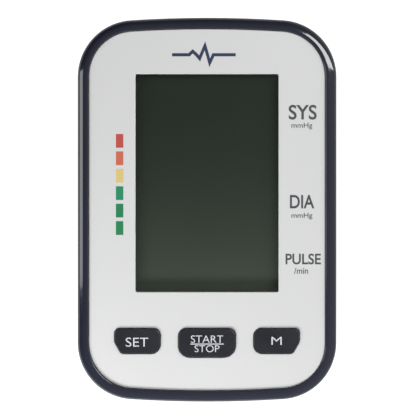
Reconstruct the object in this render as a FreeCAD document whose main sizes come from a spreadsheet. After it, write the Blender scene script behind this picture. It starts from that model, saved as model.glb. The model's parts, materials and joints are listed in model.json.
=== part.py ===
"""Automatic upper-arm blood pressure monitor, lying on its back with its face up.

Frame: millimetres, origin on the table under the middle of the case. +X is to the user's right, +Y runs
from the buttons to the top of the display, and +Z comes out of the face.
"""

import FreeCAD, Part
import math
import os
import re

import Sketcher
from FreeCAD import Placement, Rotation, Vector

DIMENSIONS = {
    # Case: a rounded outline whose two ends are bowed, in an upper and a lower shell.
    "case_width": 98.0,
    "case_length": 145.4,
    "corner_radius": 21.5,
    "bow_radius": 450.0,
    "case_top": 46.0,
    "case_bottom": 1.5,
    "seam_level": 26.0,
    "seam_gap": 0.4,
    "seam_inset": 1.0,
    "bottom_inset": 4.5,
    "bottom_edge_radius": 7.0,
    "shoulder_level": 40.0,
    "floor_inset": 13.0,
    "wall": 2.2,
    "low_wall": 2.0,
    "floor_thickness": 2.5,
    "lip_thickness": 1.2,
    "lip_height": 2.0,
    "lip_root_height": 3.0,
    "rim_thickening": 0.6,
    "shoulder_thickening": 0.4,
    "fit_gap": 0.1,
    "weld": 1.0,
    # Bezel and face plate.
    "bezel_width": 4.3,
    "bezel_outer_radius": 3.2,
    "bezel_inner_radius": 0.4,
    "bezel_ledge": 2.0,
    "plate_top": 45.0,
    "plate_thickness": 1.5,
    "deck_thickness": 2.0,
    "plate_edge_radius": 0.3,
    # Display window.
    "window_width": 54.0,
    "window_length": 82.3,
    "window_y": 10.1,
    "window_flange": 0.85,
    "window_flange_thickness": 0.8,
    "window_step": 0.05,
    "window_corner": 0.6,
    # Keys.
    "key_top": 46.0,
    "key_row_top": -44.9,
    "side_key_x": 26.25,
    "side_key_width": 17.1,
    "side_key_length": 9.3,
    "side_key_slant_width": 2.5,
    "side_key_slant_length": 4.4,
    "start_key_width": 21.4,
    "start_key_length": 10.7,
    "key_small_radius": 1.6,
    "key_radius": 2.6,
    "side_key_low_radius": 3.3,
    "start_key_low_radius": 4.4,
    "key_edge_radius": 0.5,
    "key_gap": 0.2,
    "key_flange": 0.7,
    "key_flange_thickness": 1.0,
    "key_travel_gap": 0.2,
    "key_wall": 1.3,
    "key_roof": 1.5,
    "key_post_radius": 2.0,
    "dome_height": 2.4,
    "dome_radius": 4.2,
    "dome_top_radius": 2.2,
    "dome_web": 0.5,
    "dome_foot": 1.0,
    "dome_foot_height": 0.4,
    "pill_radius": 1.6,
    "pill_thickness": 0.4,
    # Liquid crystal display.
    "glass_width": 58.0,
    "glass_length": 88.0,
    "glass_thickness": 1.1,
    "glass_ledge": 3.0,
    "glass_gap": 0.2,
    "polariser_thickness": 0.25,
    "polariser_margin": 0.6,
    "reflector_thickness": 0.4,
    "zebra_width": 2.4,
    "zebra_length": 78.0,
    "zebra_margin": 0.2,
    "frame_wall": 1.8,
    "frame_corner": 1.5,
    "frame_bar_width": 2.4,
    "frame_bar_inset": 0.8,
    "frame_bar_overlap": 1.5,
    # Main board.
    "board_top": 36.2,
    "board_thickness": 1.6,
    "board_width": 76.0,
    "board_low_y": -59.0,
    "board_high_y": 58.0,
    "board_corner": 1.5,
    "board_notch_radius": 4.8,
    "post_radius": 2.2,
    "post_x": 34.8,
    "post_low_y": -38.0,
    "post_high_y": 44.0,
    "board_screw_radius": 0.95,
    "board_screw_length": 5.8,
    "board_screw_head_radius": 1.9,
    "board_screw_head_height": 1.3,
    "pilot_depth": 4.6,
    "chip_x": 4.0,
    "chip_y": -22.0,
    "chip_size": 11.0,
    "chip_leads_size": 14.0,
    "chip_thickness": 1.4,
    "chip_leads_thickness": 0.3,
    "memory_chip_x": -11.5,
    "memory_chip_y": -23.5,
    "memory_chip_size": 5.0,
    "memory_chip_thickness": 1.5,
    "crystal_x": -10.5,
    "crystal_y": -11.8,
    "crystal_length": 11.0,
    "crystal_width": 4.4,
    "crystal_thickness": 3.4,
    "buzzer_y": -44.0,
    "buzzer_radius": 6.0,
    "buzzer_height": 6.0,
    "buzzer_chamber": 3.0,
    "buzzer_hole_radius": 1.0,
    "capacitor_x": 18.0,
    "capacitor_pitch": 8.0,
    "capacitor_y": -30.0,
    "capacitor_radius": 3.1,
    "capacitor_height": 8.5,
    "header_width": 4.4,
    "header_length": 4.8,
    # Case screws and their bosses.
    "boss_x": 36.4,
    "boss_y": 57.0,
    "boss_radius": 3.0,
    "lower_boss_radius": 3.4,
    "boss_meeting": 14.0,
    "boss_gap": 0.05,
    "pilot_gap": 0.03,
    "screw_play": 0.2,
    "screw_seat": 9.0,
    "screw_head_radius": 2.3,
    "screw_head_height": 1.8,
    "screw_radius": 1.25,
    "screw_length": 10.0,
    "screw_point": 0.9,
    "screw_head_bevel": 0.5,
    "screw_slot": 0.6,
    "screw_slot_length": 2.8,
    "screw_slot_depth": 1.0,
    # Battery bay, its door and cells.
    "bay_half_width": 30.6,
    "bay_low_y": -53.0,
    "bay_high_y": 5.0,
    "bay_ceiling": 19.0,
    "bay_wall": 2.2,
    "bay_low_wall": 3.4,
    "bay_high_wall": 3.0,
    "bay_roof": 1.6,
    "bay_rib": 0.8,
    "bay_rib_length": 6.0,
    "bay_rib_end": 1.5,
    "cell_radius": 7.15,
    "cell_length": 50.5,
    "cell_nub_radius": 2.7,
    "cell_nub_length": 1.0,
    "cell_low_edge": 0.6,
    "cell_high_edge": 0.8,
    "cell_end_play": 0.2,
    "cell_pitch": 15.3,
    "cell_level": 11.6,
    "contact_thickness": 0.4,
    "contact_height": 11.0,
    "contact_width": 10.0,
    "spring_radius": 3.4,
    "spring_wire_radius": 0.35,
    "spring_pitch": 1.375,
    "spring_height": 5.5,
    "spring_seat": 0.55,
    "door_half_width": 32.2,
    "door_low_y": -55.8,
    "door_thickness": 2.4,
    "door_gap": 0.2,
    "hinge_y": 5.6,
    "hinge_level": 2.7,
    "hinge_edge_radius": 1.2,
    "hinge_pin_radius": 0.7,
    "hinge_pin_length": 2.0,
    "hinge_clearance": 0.05,
    "door_rib": 1.0,
    "door_rib_height": 0.35,
    "door_rib_inset": 3.0,
    "door_rib_pitch": 20.0,
    "first_door_rib_y": -44.0,
    "groove_width": 0.9,
    "groove_depth": 0.5,
    "groove_pitch": 2.2,
    "first_groove_y": -50.0,
    "first_groove_length": 22.0,
    "latch_half_width": 7.0,
    "latch_thickness": 1.0,
    "latch_height": 7.5,
    "latch_loop": 1.9,
    "latch_pad": 2.2,
    "latch_pad_thickness": 1.4,
    "latch_tooth": 0.9,
    "latch_tooth_low": 3.8,
    "latch_tooth_high": 4.6,
    "catch_low": 2.2,
    "catch_high": 3.4,
    "catch_depth": 1.2,
    "niche_half_width": 8.2,
    "niche_low_y": -62.0,
    "niche_high_y": -54.4,
    "niche_ceiling": 11.0,
    "niche_wall": 1.4,
    # Rubber feet.
    "foot_x": 35.4,
    "foot_low_y": -42.0,
    "foot_high_y": 40.0,
    "foot_width": 4.6,
    "foot_length": 18.0,
    "foot_recess": 0.4,
    "foot_edge": 0.5,
    "foot_gap": 0.05,
    # Air line: pump, manifold, valve, sensor and socket share one level.
    "air_level": 18.5,
    "air_row_y": 44.0,
    "barb_radius": 1.45,
    "barb_ridge": 0.25,
    "barb_tip": 1.6,
    "barb_rise": 0.2,
    "barb_taper": 0.3,
    "barb_bore_radius": 0.7,
    "tube_bore_radius": 1.75,
    "tube_radius": 2.6,
    "manifold_x": 24.0,
    "manifold_half": 3.5,
    "barb_length": 4.0,
    "sensor_barb_length": 3.6,
    "socket_barb_length": 5.0,
    "valve_barb_length": 2.3,
    "tube_end_gap": 0.1,
    "pump_tube_bend": 7.0,
    "sensor_width": 10.0,
    "sensor_length": 8.0,
    "sensor_height": 4.0,
    "socket_face_x": -47.2,
    "socket_flange_radius": 6.0,
    "socket_flange_thickness": 1.0,
    "socket_flange_edge": 0.4,
    "socket_radius": 4.4,
    "socket_end_x": -35.0,
    "socket_bore_radius": 2.6,
    "socket_bore_length": 10.0,
    "gasket_thickness": 0.6,
    # Air pump.
    "pump_y": 23.0,
    "pump_back_x": -39.0,
    "motor_radius": 12.0,
    "motor_length": 28.0,
    "motor_wall": 1.2,
    "end_cap_thickness": 2.4,
    "end_cap_boss": 1.4,
    "end_cap_boss_radius": 9.0,
    "end_cap_bevel": 1.5,
    "rotor_start": 5.0,
    "rotor_end_play": 0.3,
    "rotor_radius": 8.6,
    "rotor_length": 16.0,
    "shaft_radius": 1.0,
    "shaft_gap": 0.06,
    "shaft_reach": 4.5,
    "pump_half": 12.6,
    "pump_base_length": 12.0,
    "pump_base_wall": 1.6,
    "pump_base_floor": 1.0,
    "base_eye_radius": 3.2,
    "pump_corner": 4.0,
    "crank_radius": 4.2,
    "crank_length": 4.0,
    "crank_start": 1.5,
    "crank_socket": 3.0,
    "drive_pin_radius": 0.6,
    "drive_pin_length": 1.2,
    "drive_pin_throw": 2.4,
    "wobble_radius": 8.0,
    "wobble_thickness": 1.6,
    "wobble_gap": 1.5,
    "diaphragm_thickness": 2.4,
    "cup_circle": 5.0,
    "cup_radius": 2.9,
    "cup_depth": 1.4,
    "cup_wall": 0.7,
    "pump_head_length": 5.5,
    "head_chamber_radius": 7.0,
    "head_chamber_depth": 2.0,
    "cushion_radius": 14.0,
    "cushion_length": 18.0,
    "cushion_start": 5.0,
    "cushion_gap": 0.02,
    "saddle_start": 9.0,
    "saddle_spacing": 10.0,
    "saddle_thickness": 2.0,
    "saddle_half_width": 9.0,
    "saddle_top": 13.5,
    "saddle_gap": 0.05,
    "sound_slot_width": 1.4,
    "sound_slot_length": 9.0,
    "sound_slot_pitch": 3.2,
    "sound_slot_y": 55.0,
    # Exhaust valve.
    "valve_low_y": 55.6,
    "valve_length": 10.0,
    "valve_half_width": 5.0,
    "valve_half_height": 6.0,
    "valve_sheet": 1.0,
    "valve_shelf_half_width": 4.0,
    "coil_gap": 0.1,
    "coil_radius": 4.7,
    "plunger_radius": 1.9,
    "plunger_travel": 0.8,
    "plunger_length": 7.6,
    "valve_cap_radius": 4.2,
    "valve_cap_length": 1.6,
    # Mains adapter jack.
    "jack_y": 30.0,
    "jack_level": 16.0,
    "jack_half_width": 4.5,
    "jack_half_height": 5.5,
    "jack_back_x": 33.0,
    "jack_front_x": 43.0,
    "jack_face_x": 47.0,
    "jack_collar_radius": 4.2,
    "jack_bore_radius": 3.1,
    "jack_bore_length": 9.5,
    "jack_pin_radius": 1.0,
    "jack_pin_root": 1.5,
    "jack_pin_recess": 0.8,
    # Insulated leads.
    "lead_radius": 0.55,
    "lead_gap": 0.05,
    "lead_hole_radius": 0.85,
    "lead_hole_y": 4.7,
    "lead_bend": 2.0,
    "motor_lead_bend": 0.9,
    "motor_lead_offset": 3.2,
    "motor_lead_rise": 5.0,
    "motor_header_x": -35.7,
    "motor_header_y": 12.8,
    "jack_header_x": 30.0,
    "valve_header_x": 13.2,
    "valve_header_y": 52.8,
    "lead_level": 29.6,
    "bay_lead_level": 26.0,
    "valve_lead_level": 27.0,
    "header_level": 32.1,
}

document = FreeCAD.newDocument("blood_pressure_monitor")
sheet = document.addObject("Spreadsheet::Sheet", "dims")
for row, (alias, size) in enumerate(DIMENSIONS.items(), start=1):
    sheet.set(f"A{row}", alias)
    sheet.set(f"B{row}", str(size))
    sheet.setAlias(f"B{row}", alias)
document.recompute()

SUB_PARTS = []
TOLERANCE = 1e-4


# Formulas and bindings ------------------------------------------------------------------------------------


def formula(text):
    """A formula in dimension names, as FreeCAD reads it from the spreadsheet."""
    return re.sub(r"[a-z][a-z_]*[a-z]", lambda m: "dims." + m[0] if m[0] in DIMENSIONS else m[0], text)


def number(text):
    """What a formula comes to now."""
    return float(sheet.evalExpression(formula(text)))


def bind(thing, **properties):
    """Bind properties of an object to formulas. A double underscore stands for a dot."""
    for name, text in properties.items():
        thing.setExpression(name.replace("__", "."), formula(text))
    return thing


def place(thing, x="0", y="0", z="0", turn=None):
    """Bind an object's place, after turning it by an axis and an angle in degrees."""
    if turn:
        thing.Placement = Placement(Vector(), Rotation(Vector(*turn[0]), turn[1]))
    return bind(thing, Placement__Base__x=x, Placement__Base__y=y, Placement__Base__z=z)


def sub_part(thing):
    """Mark an object as one of the pieces that are written out."""
    SUB_PARTS.append(thing)
    return thing


# Sketches -------------------------------------------------------------------------------------------------


def sketch_on(body, name, plane="XY_Plane", level="0"):
    """A sketch on one of the body's origin planes, moved along the plane's normal by level."""
    sketch = body.newObject("Sketcher::SketchObject", name)
    role = [feature for feature in body.Origin.OriginFeatures if feature.Role == plane]
    sketch.AttachmentSupport = [(role[0], "")]
    sketch.MapMode = "FlatFace"
    return bind(sketch, AttachmentOffset__Base__z=level)


def pin(sketch, item, point, x, y):
    """Hold a sketch point at x, y from the sketch's origin, by formulas."""
    for kind, axis, text in (("DistanceX", -2, x), ("DistanceY", -1, y)):
        if abs(number(text)) < TOLERANCE:
            sketch.addConstraint(Sketcher.Constraint("PointOnObject", item, point, axis))
            continue
        held = sketch.addConstraint(Sketcher.Constraint(kind, -1, 1, item, point, number(text)))
        sketch.setExpression(f"Constraints[{held}]", formula(text))


def radius_of(sketch, item, text):
    """Hold the radius of a circle or arc by a formula."""
    held = sketch.addConstraint(Sketcher.Constraint("Radius", item, number(text)))
    sketch.setExpression(f"Constraints[{held}]", formula(text))


def disc(radius, x="0", y="0"):
    """A circle."""

    def draw(sketch):
        centre = Vector(number(x), number(y), 0)
        item = sketch.addGeometry(Part.Circle(centre, Vector(0, 0, 1), number(radius)))
        radius_of(sketch, item, radius)
        pin(sketch, item, 3, x, y)

    return draw


def corner_arc(before, corner, after, radius):
    """The arc that rounds a corner, its two ends in drawing order, and whether it turns clockwise."""
    to_before = (before - corner).normalize()
    to_after = (after - corner).normalize()
    half = to_before.getAngle(to_after) / 2
    reach = radius / math.tan(half)
    start, end = corner + to_before * reach, corner + to_after * reach
    centre = corner + (to_before + to_after).normalize() * (radius / math.sin(half))
    clockwise = to_before.cross(to_after).z > 0
    first, last = (end, start) if clockwise else (start, end)
    angles = [math.atan2(point.y - centre.y, point.x - centre.x) for point in (first, last)]
    circle = Part.Circle(centre, Vector(0, 0, 1), radius)
    return Part.ArcOfCircle(circle, *angles), start, end, clockwise


def polygon(*corners):
    """A closed outline of straight sides. Each corner is x, y and an optional rounding radius."""

    def draw(sketch):
        places = [Vector(number(c[0]), number(c[1]), 0) for c in corners]
        count = len(corners)
        arcs = {}
        for i, corner in enumerate(corners):
            if len(corner) == 3:
                neighbours = places[i - 1], places[i], places[(i + 1) % count]
                arcs[i] = corner_arc(*neighbours, number(corner[2]))
        sides = []
        for i in range(count):
            start = arcs[i][2] if i in arcs else places[i]
            after = (i + 1) % count
            end = arcs[after][1] if after in arcs else places[after]
            sides.append(sketch.addGeometry(Part.LineSegment(start, end)))
        for i, corner in enumerate(corners):
            if i not in arcs:
                sketch.addConstraint(Sketcher.Constraint("Coincident", sides[i - 1], 2, sides[i], 1))
                pin(sketch, sides[i], 1, corner[0], corner[1])
                continue
            arc, _, _, clockwise = arcs[i]
            item = sketch.addGeometry(arc)
            meets = (2, 1) if clockwise else (1, 2)
            tip = sketch.addGeometry(Part.Point(places[i]), True)
            sketch.addConstraint(Sketcher.Constraint("Tangent", sides[i - 1], 2, item, meets[0]))
            sketch.addConstraint(Sketcher.Constraint("Tangent", item, meets[1], sides[i], 1))
            sketch.addConstraint(Sketcher.Constraint("PointOnObject", tip, 1, sides[i - 1]))
            sketch.addConstraint(Sketcher.Constraint("PointOnObject", tip, 1, sides[i]))
            pin(sketch, tip, 1, corner[0], corner[1])
            radius_of(sketch, item, corner[2])

    return draw


def span(low_x, high_x, low_y, high_y, *radius):
    """A rectangle between two x and two y values, with an optional corner radius."""
    return polygon(
        (low_x, low_y, *radius),
        (high_x, low_y, *radius),
        (high_x, high_y, *radius),
        (low_x, high_y, *radius),
    )


def rectangle(width, length, x="0", y="0", *radius):
    """A rectangle about a centre, with an optional corner radius."""
    across = (f"{x} - ({width}) / 2", f"{x} + ({width}) / 2")
    return span(*across, f"{y} - ({length}) / 2", f"{y} + ({length}) / 2", *radius)


def outline(inset, halved=False):
    """The case's outline, moved inwards. Halved, it starts and ends in the middle of its right side."""

    def draw(sketch):
        half_width = number(f"case_width / 2 - ({inset})")
        corner = number(f"corner_radius - ({inset})")
        bow = number(f"bow_radius - ({inset})")
        bow_y = number("case_length / 2 - bow_radius")
        corner_x = half_width - corner
        corner_y = bow_y + math.sqrt((bow - corner) ** 2 - corner_x**2)
        lean = math.atan2(corner_y - bow_y, corner_x)
        up = Vector(0, 0, 1)

        def arc(x, y, radius, start, end):
            circle = Part.Circle(Vector(x, y, 0), up, radius)
            return sketch.addGeometry(Part.ArcOfCircle(circle, start, end))

        def side(x, start_y, end_y):
            return sketch.addGeometry(Part.LineSegment(Vector(x, start_y, 0), Vector(x, end_y, 0)))

        right = side(half_width, 0 if halved else -corner_y, corner_y)
        high_right = arc(corner_x, corner_y, corner, 0, lean)
        high = arc(0, bow_y, bow, lean, math.pi - lean)
        high_left = arc(-corner_x, corner_y, corner, math.pi - lean, math.pi)
        left = side(-half_width, corner_y, -corner_y)
        low_left = arc(-corner_x, -corner_y, corner, math.pi, math.pi + lean)
        low = arc(0, -bow_y, bow, math.pi + lean, 2 * math.pi - lean)
        low_right = arc(corner_x, -corner_y, corner, 2 * math.pi - lean, 2 * math.pi)
        ring = [right, high_right, high, high_left, left, low_left, low, low_right]
        if halved:
            ring.append(side(half_width, -corner_y, 0))
            sketch.addConstraint(Sketcher.Constraint("Coincident", ring[-1], 2, right, 1))
            sketch.addConstraint(Sketcher.Constraint("PointOnObject", right, 1, -1))
        for before, after in zip(ring, ring[1:] if halved else ring[1:] + ring[:1]):
            sketch.addConstraint(Sketcher.Constraint("Tangent", before, 2, after, 1))
        for item, sign in ((right, ""), (left, "-")):
            sketch.addConstraint(Sketcher.Constraint("Vertical", item))
            text = f"{sign}(case_width / 2 - ({inset}))"
            held = sketch.addConstraint(Sketcher.Constraint("DistanceX", -1, 1, item, 1, number(text)))
            sketch.setExpression(f"Constraints[{held}]", formula(text))
        radius_of(sketch, high_right, f"corner_radius - ({inset})")
        for item in (high_left, low_left, low_right):
            sketch.addConstraint(Sketcher.Constraint("Equal", high_right, item))
        radius_of(sketch, high, f"bow_radius - ({inset})")
        sketch.addConstraint(Sketcher.Constraint("Equal", high, low))
        pin(sketch, high, 3, "0", "case_length / 2 - bow_radius")
        pin(sketch, low, 3, "0", "bow_radius - case_length / 2")

    return draw


# Features -------------------------------------------------------------------------------------------------


def new_body(name):
    """A body that is written out under its own name."""
    return sub_part(document.addObject("PartDesign::Body", name))


def extrude(body, name, low, high, *shapes, plane="XY_Plane", cut=False):
    """Add, or cut away, the shapes drawn from one level to another along the plane's normal."""
    sketch = sketch_on(body, name + "_sketch", plane, low)
    for draw in shapes:
        draw(sketch)
    feature = body.newObject("PartDesign::Pocket" if cut else "PartDesign::Pad", name)
    feature.Profile = sketch
    feature.Reversed = cut
    feature.Refine = True
    sketch.Visibility = False
    return bind(feature, Length=f"{high} - ({low})")


def carve(body, name, low, high, *shapes, plane="XY_Plane"):
    """Cut the shapes away from one level to another."""
    return extrude(body, name, low, high, *shapes, plane=plane, cut=True)


def wall_round(body, name, *corners):
    """Sweep a wall's section round the case. Its corners are an inset, a level and an optional radius."""
    path = sketch_on(body, name + "_path")
    outline("0", halved=True)(path)
    section = sketch_on(body, name + "_section", "XZ_Plane")
    polygon(*[(f"case_width / 2 - ({inset})", *rest) for inset, *rest in corners])(section)
    feature = body.newObject("PartDesign::AdditivePipe", name)
    feature.Profile = section
    feature.Spine = (path, [f"Edge{i + 1}" for i in range(path.GeometryCount)])
    return feature


def turned(name, *corners):
    """A body turned about its own Z axis from a profile of radius and height."""
    body = document.addObject("PartDesign::Body", name)
    sketch = sketch_on(body, name + "_profile", "XZ_Plane")
    polygon(*corners)(sketch)
    feature = body.newObject("PartDesign::Revolution", name + "_turn")
    feature.Profile = sketch
    feature.ReferenceAxis = (sketch, ["V_Axis"])
    feature.Angle = 360
    return body


POINTS_PER_EDGE = 5


def edges_at(feature, test):
    """Names of the feature's edges whose every sampled point passes the test."""
    names = []
    for i, edge in enumerate(feature.Shape.Edges, start=1):
        if all(test(point) for point in edge.discretize(POINTS_PER_EDGE)):
            names.append(f"Edge{i}")
    return names


def soften(body, name, base, radius, test, kind="Fillet"):
    """Round, or chamfer, the edges of the body's last feature that pass the test."""
    document.recompute()
    feature = body.newObject("PartDesign::" + kind, name)
    feature.Base = (base, edges_at(base, test))
    return bind(feature, **{"Radius" if kind == "Fillet" else "Size": radius})


def at_level(text):
    """A test for points at a height."""
    level = number(text)
    return lambda point: abs(point.z - level) < TOLERANCE


def block(name, low_x, high_x, low_y, high_y, low_z, high_z):
    """A box between two places on each axis."""
    box = document.addObject("Part::Box", name)
    bind(box, Length=f"{high_x} - ({low_x})", Width=f"{high_y} - ({low_y})", Height=f"{high_z} - ({low_z})")
    return place(box, low_x, low_y, low_z)


def rod(name, radius, low, high, x="0", y="0", z="0", axis="z"):
    """A cylinder along an axis, from low to high along it, about a line through the other two places."""
    cylinder = document.addObject("Part::Cylinder", name)
    bind(cylinder, Radius=radius, Height=f"{high} - ({low})")
    if axis == "x":
        return place(cylinder, low, y, z, ((0, 1, 0), 90))
    if axis == "y":
        return place(cylinder, x, low, z, ((1, 0, 0), -90))
    return place(cylinder, x, y, low)


def joined(name, *pieces):
    """Several solids fused into one."""
    fusion = document.addObject("Part::MultiFuse", name)
    fusion.Shapes = list(pieces)
    fusion.Refine = True
    return fusion


def less(name, base, *tools):
    """A solid with others cut away from it."""
    for i, tool in enumerate(tools):
        difference = document.addObject("Part::Cut", name if i == len(tools) - 1 else f"{name}_step_{i}")
        difference.Base = base
        difference.Tool = tool
        base = difference
    return base


def group(name, *pieces):
    """Separate solids that share one node."""
    compound = document.addObject("Part::Compound", name)
    compound.Links = list(pieces)
    return sub_part(compound)


def copy_of(thing, name, x="0", y="0", z="0", turn=None):
    """Another placed instance of an object."""
    link = document.addObject("App::Link", name)
    link.LinkedObject = thing
    return place(link, x, y, z, turn)


# Keys: their outlines are used by the caps, the face plate and the deck -----------------------------------


def grown(text, growth):
    """A size with a growth added."""
    return f"{text} + ({growth})"


def start_key(growth="0"):
    """The middle key's outline, its lower corners rounder than the upper ones."""
    half = f"(start_key_width / 2 + ({growth}))"
    low = f"key_row_top - start_key_length - ({growth})"
    high = f"key_row_top + ({growth})"
    upper, lower = grown("key_radius", growth), grown("start_key_low_radius", growth)
    low_corners = (f"-{half}", low, lower), (half, low, lower)
    return polygon(*low_corners, (half, high, upper), (f"-{half}", high, upper))


def side_key(side, growth="0"):
    """A side key's outline. Its outer lower corner is slanted, to follow the corner of the case.

    Growing moves the slanted side out too, which shifts its two ends by these shares of the growth.
    """
    slant_end_share, slant_start_share = 0.3, 0.6
    outer = f"side_key_x + side_key_width / 2 + ({growth})"
    inner = f"side_key_x - side_key_width / 2 - ({growth})"
    low = f"key_row_top - side_key_length - ({growth})"
    high = f"key_row_top + ({growth})"
    slant_y = f"key_row_top - side_key_length + side_key_slant_length - {slant_end_share} * ({growth})"
    slant_x = f"side_key_x + side_key_width / 2 - side_key_slant_width + {slant_start_share} * ({growth})"
    small, large = grown("key_small_radius", growth), grown("key_radius", growth)
    corners = [
        (inner, low, grown("side_key_low_radius", growth)),
        (slant_x, low, small),
        (outer, slant_y, large),
        (outer, high, small),
        (inner, high, large),
    ]
    if side < 0:
        corners = [(f"-({x})", y, radius) for x, y, radius in reversed(corners)]
    return polygon(*corners)


def left_key(growth="0"):
    """The left key's outline."""
    return side_key(-1, growth)


def right_key(growth="0"):
    """The right key's outline."""
    return side_key(1, growth)


KEYS = {
    "set": (left_key, "-side_key_x", "key_row_top - side_key_length / 2"),
    "start_stop": (start_key, "0", "key_row_top - start_key_length / 2"),
    "memory": (right_key, "side_key_x", "key_row_top - side_key_length / 2"),
}

DECK_TOP = "(plate_top - plate_thickness)"
DECK_BOTTOM = "(plate_top - plate_thickness - deck_thickness)"
FLANGE_TOP = f"({DECK_BOTTOM} - key_travel_gap)"
FLANGE_BOTTOM = f"({FLANGE_TOP} - key_flange_thickness)"
DOME_TOP = "(board_top + dome_height)"


def keys():
    """Three hard caps, each on a silicone dome with a carbon contact pill."""
    pill_top = "board_top + dome_height - 2 * dome_web"
    for name, (shape, x, y) in KEYS.items():
        cap = new_body(name + "_button")
        extrude(cap, name + "_cap", FLANGE_TOP, "key_top", shape())
        extrude(cap, name + "_flange", FLANGE_BOTTOM, FLANGE_TOP, shape("key_flange"))
        carve(cap, name + "_hollow", FLANGE_BOTTOM, "key_top - key_roof", shape("-key_wall"))
        post = disc("key_post_radius", x, y)
        last = extrude(cap, name + "_post", DOME_TOP, "key_top - key_roof / 2", post)
        soften(cap, name + "_edge", last, "key_edge_radius", at_level("key_top"))
        sub_part(place(dome(name + "_dome"), x, y, "board_top"))
        sub_part(rod(name + "_contact_pill", "pill_radius", f"{pill_top} - pill_thickness", pill_top, x, y))


def dome(name):
    """A silicone dome that snaps down under a key, standing on the XY plane."""
    return turned(
        name,
        ("0", "dome_height - 2 * dome_web"),
        ("pill_radius", "dome_height - 2 * dome_web"),
        ("dome_radius - dome_foot", "dome_foot_height"),
        ("dome_radius - dome_foot", "0"),
        ("dome_radius", "0"),
        ("dome_radius", "dome_web"),
        ("dome_top_radius", "dome_height - dome_web"),
        ("dome_top_radius", "dome_height"),
        ("0", "dome_height"),
    )


# Case -----------------------------------------------------------------------------------------------------

BOSSES = [(x, y) for x in ("-boss_x", "boss_x") for y in ("-boss_y", "boss_y")]
POSTS = [(x, y) for x in ("-post_x", "post_x") for y in ("post_low_y", "post_high_y")]
FEET = [(x, y) for x in ("-foot_x", "foot_x") for y in ("foot_low_y", "foot_high_y")]
FLOOR_TOP = "(case_bottom + floor_thickness)"
INSIDE_FLOOR = "(case_bottom + weld)"
BELOW = "(case_bottom - weld)"


def discs(radius, places):
    """A circle at each of several places."""
    return [disc(radius, x, y) for x, y in places]


def window_opening(growth):
    """The display window's rectangle, larger by a growth on each side."""
    size = (f"window_width + 2 * ({growth})", f"window_length + 2 * ({growth})")
    return rectangle(*size, "0", "window_y", "window_corner")


def upper_case():
    """The glossy upper shell: side walls, rounded bezel, and the deck that carries the face plate."""
    body = new_body("upper_case")
    rim = "seam_level + seam_gap / 2"
    wall_round(
        body,
        "shell",
        ("seam_inset", rim),
        ("0", "shoulder_level"),
        ("0", "case_top", "bezel_outer_radius"),
        ("bezel_width", "case_top", "bezel_inner_radius"),
        ("bezel_width", DECK_TOP),
        ("bezel_width + bezel_ledge", DECK_TOP),
        ("bezel_width + bezel_ledge", DECK_BOTTOM),
        ("wall + shoulder_thickening", DECK_BOTTOM),
        ("seam_inset + wall", rim),
    )
    extrude(body, "deck", DECK_BOTTOM, DECK_TOP, outline("bezel_width + weld"))
    carve(body, "window_hole", DECK_BOTTOM, DECK_TOP, window_opening("window_flange + fit_gap"))
    for name, (shape, _, _) in KEYS.items():
        carve(body, name + "_hole", DECK_BOTTOM, DECK_TOP, shape("key_gap"))
    inside_deck = f"{DECK_BOTTOM} + deck_thickness / 2"
    boss_end = "boss_meeting + boss_gap"
    extrude(body, "bosses", boss_end, inside_deck, *discs("boss_radius", BOSSES))
    pilots = discs("screw_radius + pilot_gap", BOSSES)
    carve(body, "screw_holes", boss_end, "boss_meeting + screw_length", *pilots)
    extrude(body, "posts", "board_top", inside_deck, *discs("post_radius", POSTS))
    pilots = discs("board_screw_radius + pilot_gap", POSTS)
    carve(body, "post_holes", "board_top", "board_top + pilot_depth", *pilots)


def face_plate():
    """The silver panel in the bezel, with the window and key openings."""
    body = new_body("face_plate")
    extrude(body, "panel", DECK_TOP, "plate_top", outline("bezel_width + fit_gap"))
    carve(body, "panel_window", DECK_TOP, "plate_top", window_opening("0"))
    openings = [shape("key_gap") for shape, _, _ in KEYS.values()]
    last = carve(body, "panel_keys", DECK_TOP, "plate_top", *openings)
    soften(body, "panel_edges", last, "plate_edge_radius", at_level("plate_top"))


def display_window():
    """The clear lens, flush in the plate's opening, with a flange glued behind the plate."""
    body = new_body("display_window")
    flange_low = f"{DECK_TOP} - window_flange_thickness"
    extrude(body, "lens", flange_low, "plate_top - window_step", window_opening("-fit_gap"))
    extrude(body, "lens_flange", flange_low, DECK_TOP, window_opening("window_flange"))


def lower_case():
    """The lower shell: a tub with a lip, and everything that it carries."""
    body = new_body("lower_case")
    tub(body)
    bay_walls(body)
    battery_bay(body)
    screw_ways(body)
    wall_openings(body)
    pump_saddles(body)


def tub(body):
    """The side walls, the floor, the lip that locates the upper shell, and the screw bosses."""
    rim = "seam_level - seam_gap / 2"
    wall_round(
        body,
        "walls",
        ("seam_inset", rim),
        ("bottom_inset", "case_bottom", "bottom_edge_radius"),
        ("floor_inset", "case_bottom"),
        ("floor_inset", FLOOR_TOP),
        ("bottom_inset + low_wall", FLOOR_TOP, "bottom_edge_radius - wall"),
        ("seam_inset + wall", rim),
    )
    extrude(body, "floor", "case_bottom", FLOOR_TOP, outline("floor_inset - weld"))
    lip_out = "seam_inset + wall + fit_gap"
    lip_in = outline(f"{lip_out} + lip_thickness")
    root_out = outline("seam_inset + wall - rim_thickening")
    extrude(body, "lip_root", f"{rim} - lip_root_height", rim, root_out, lip_in)
    extrude(body, "lip", rim, f"{rim} + lip_height", outline(lip_out), lip_in)
    extrude(body, "bosses", INSIDE_FLOOR, "boss_meeting", *discs("lower_boss_radius", BOSSES))


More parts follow.
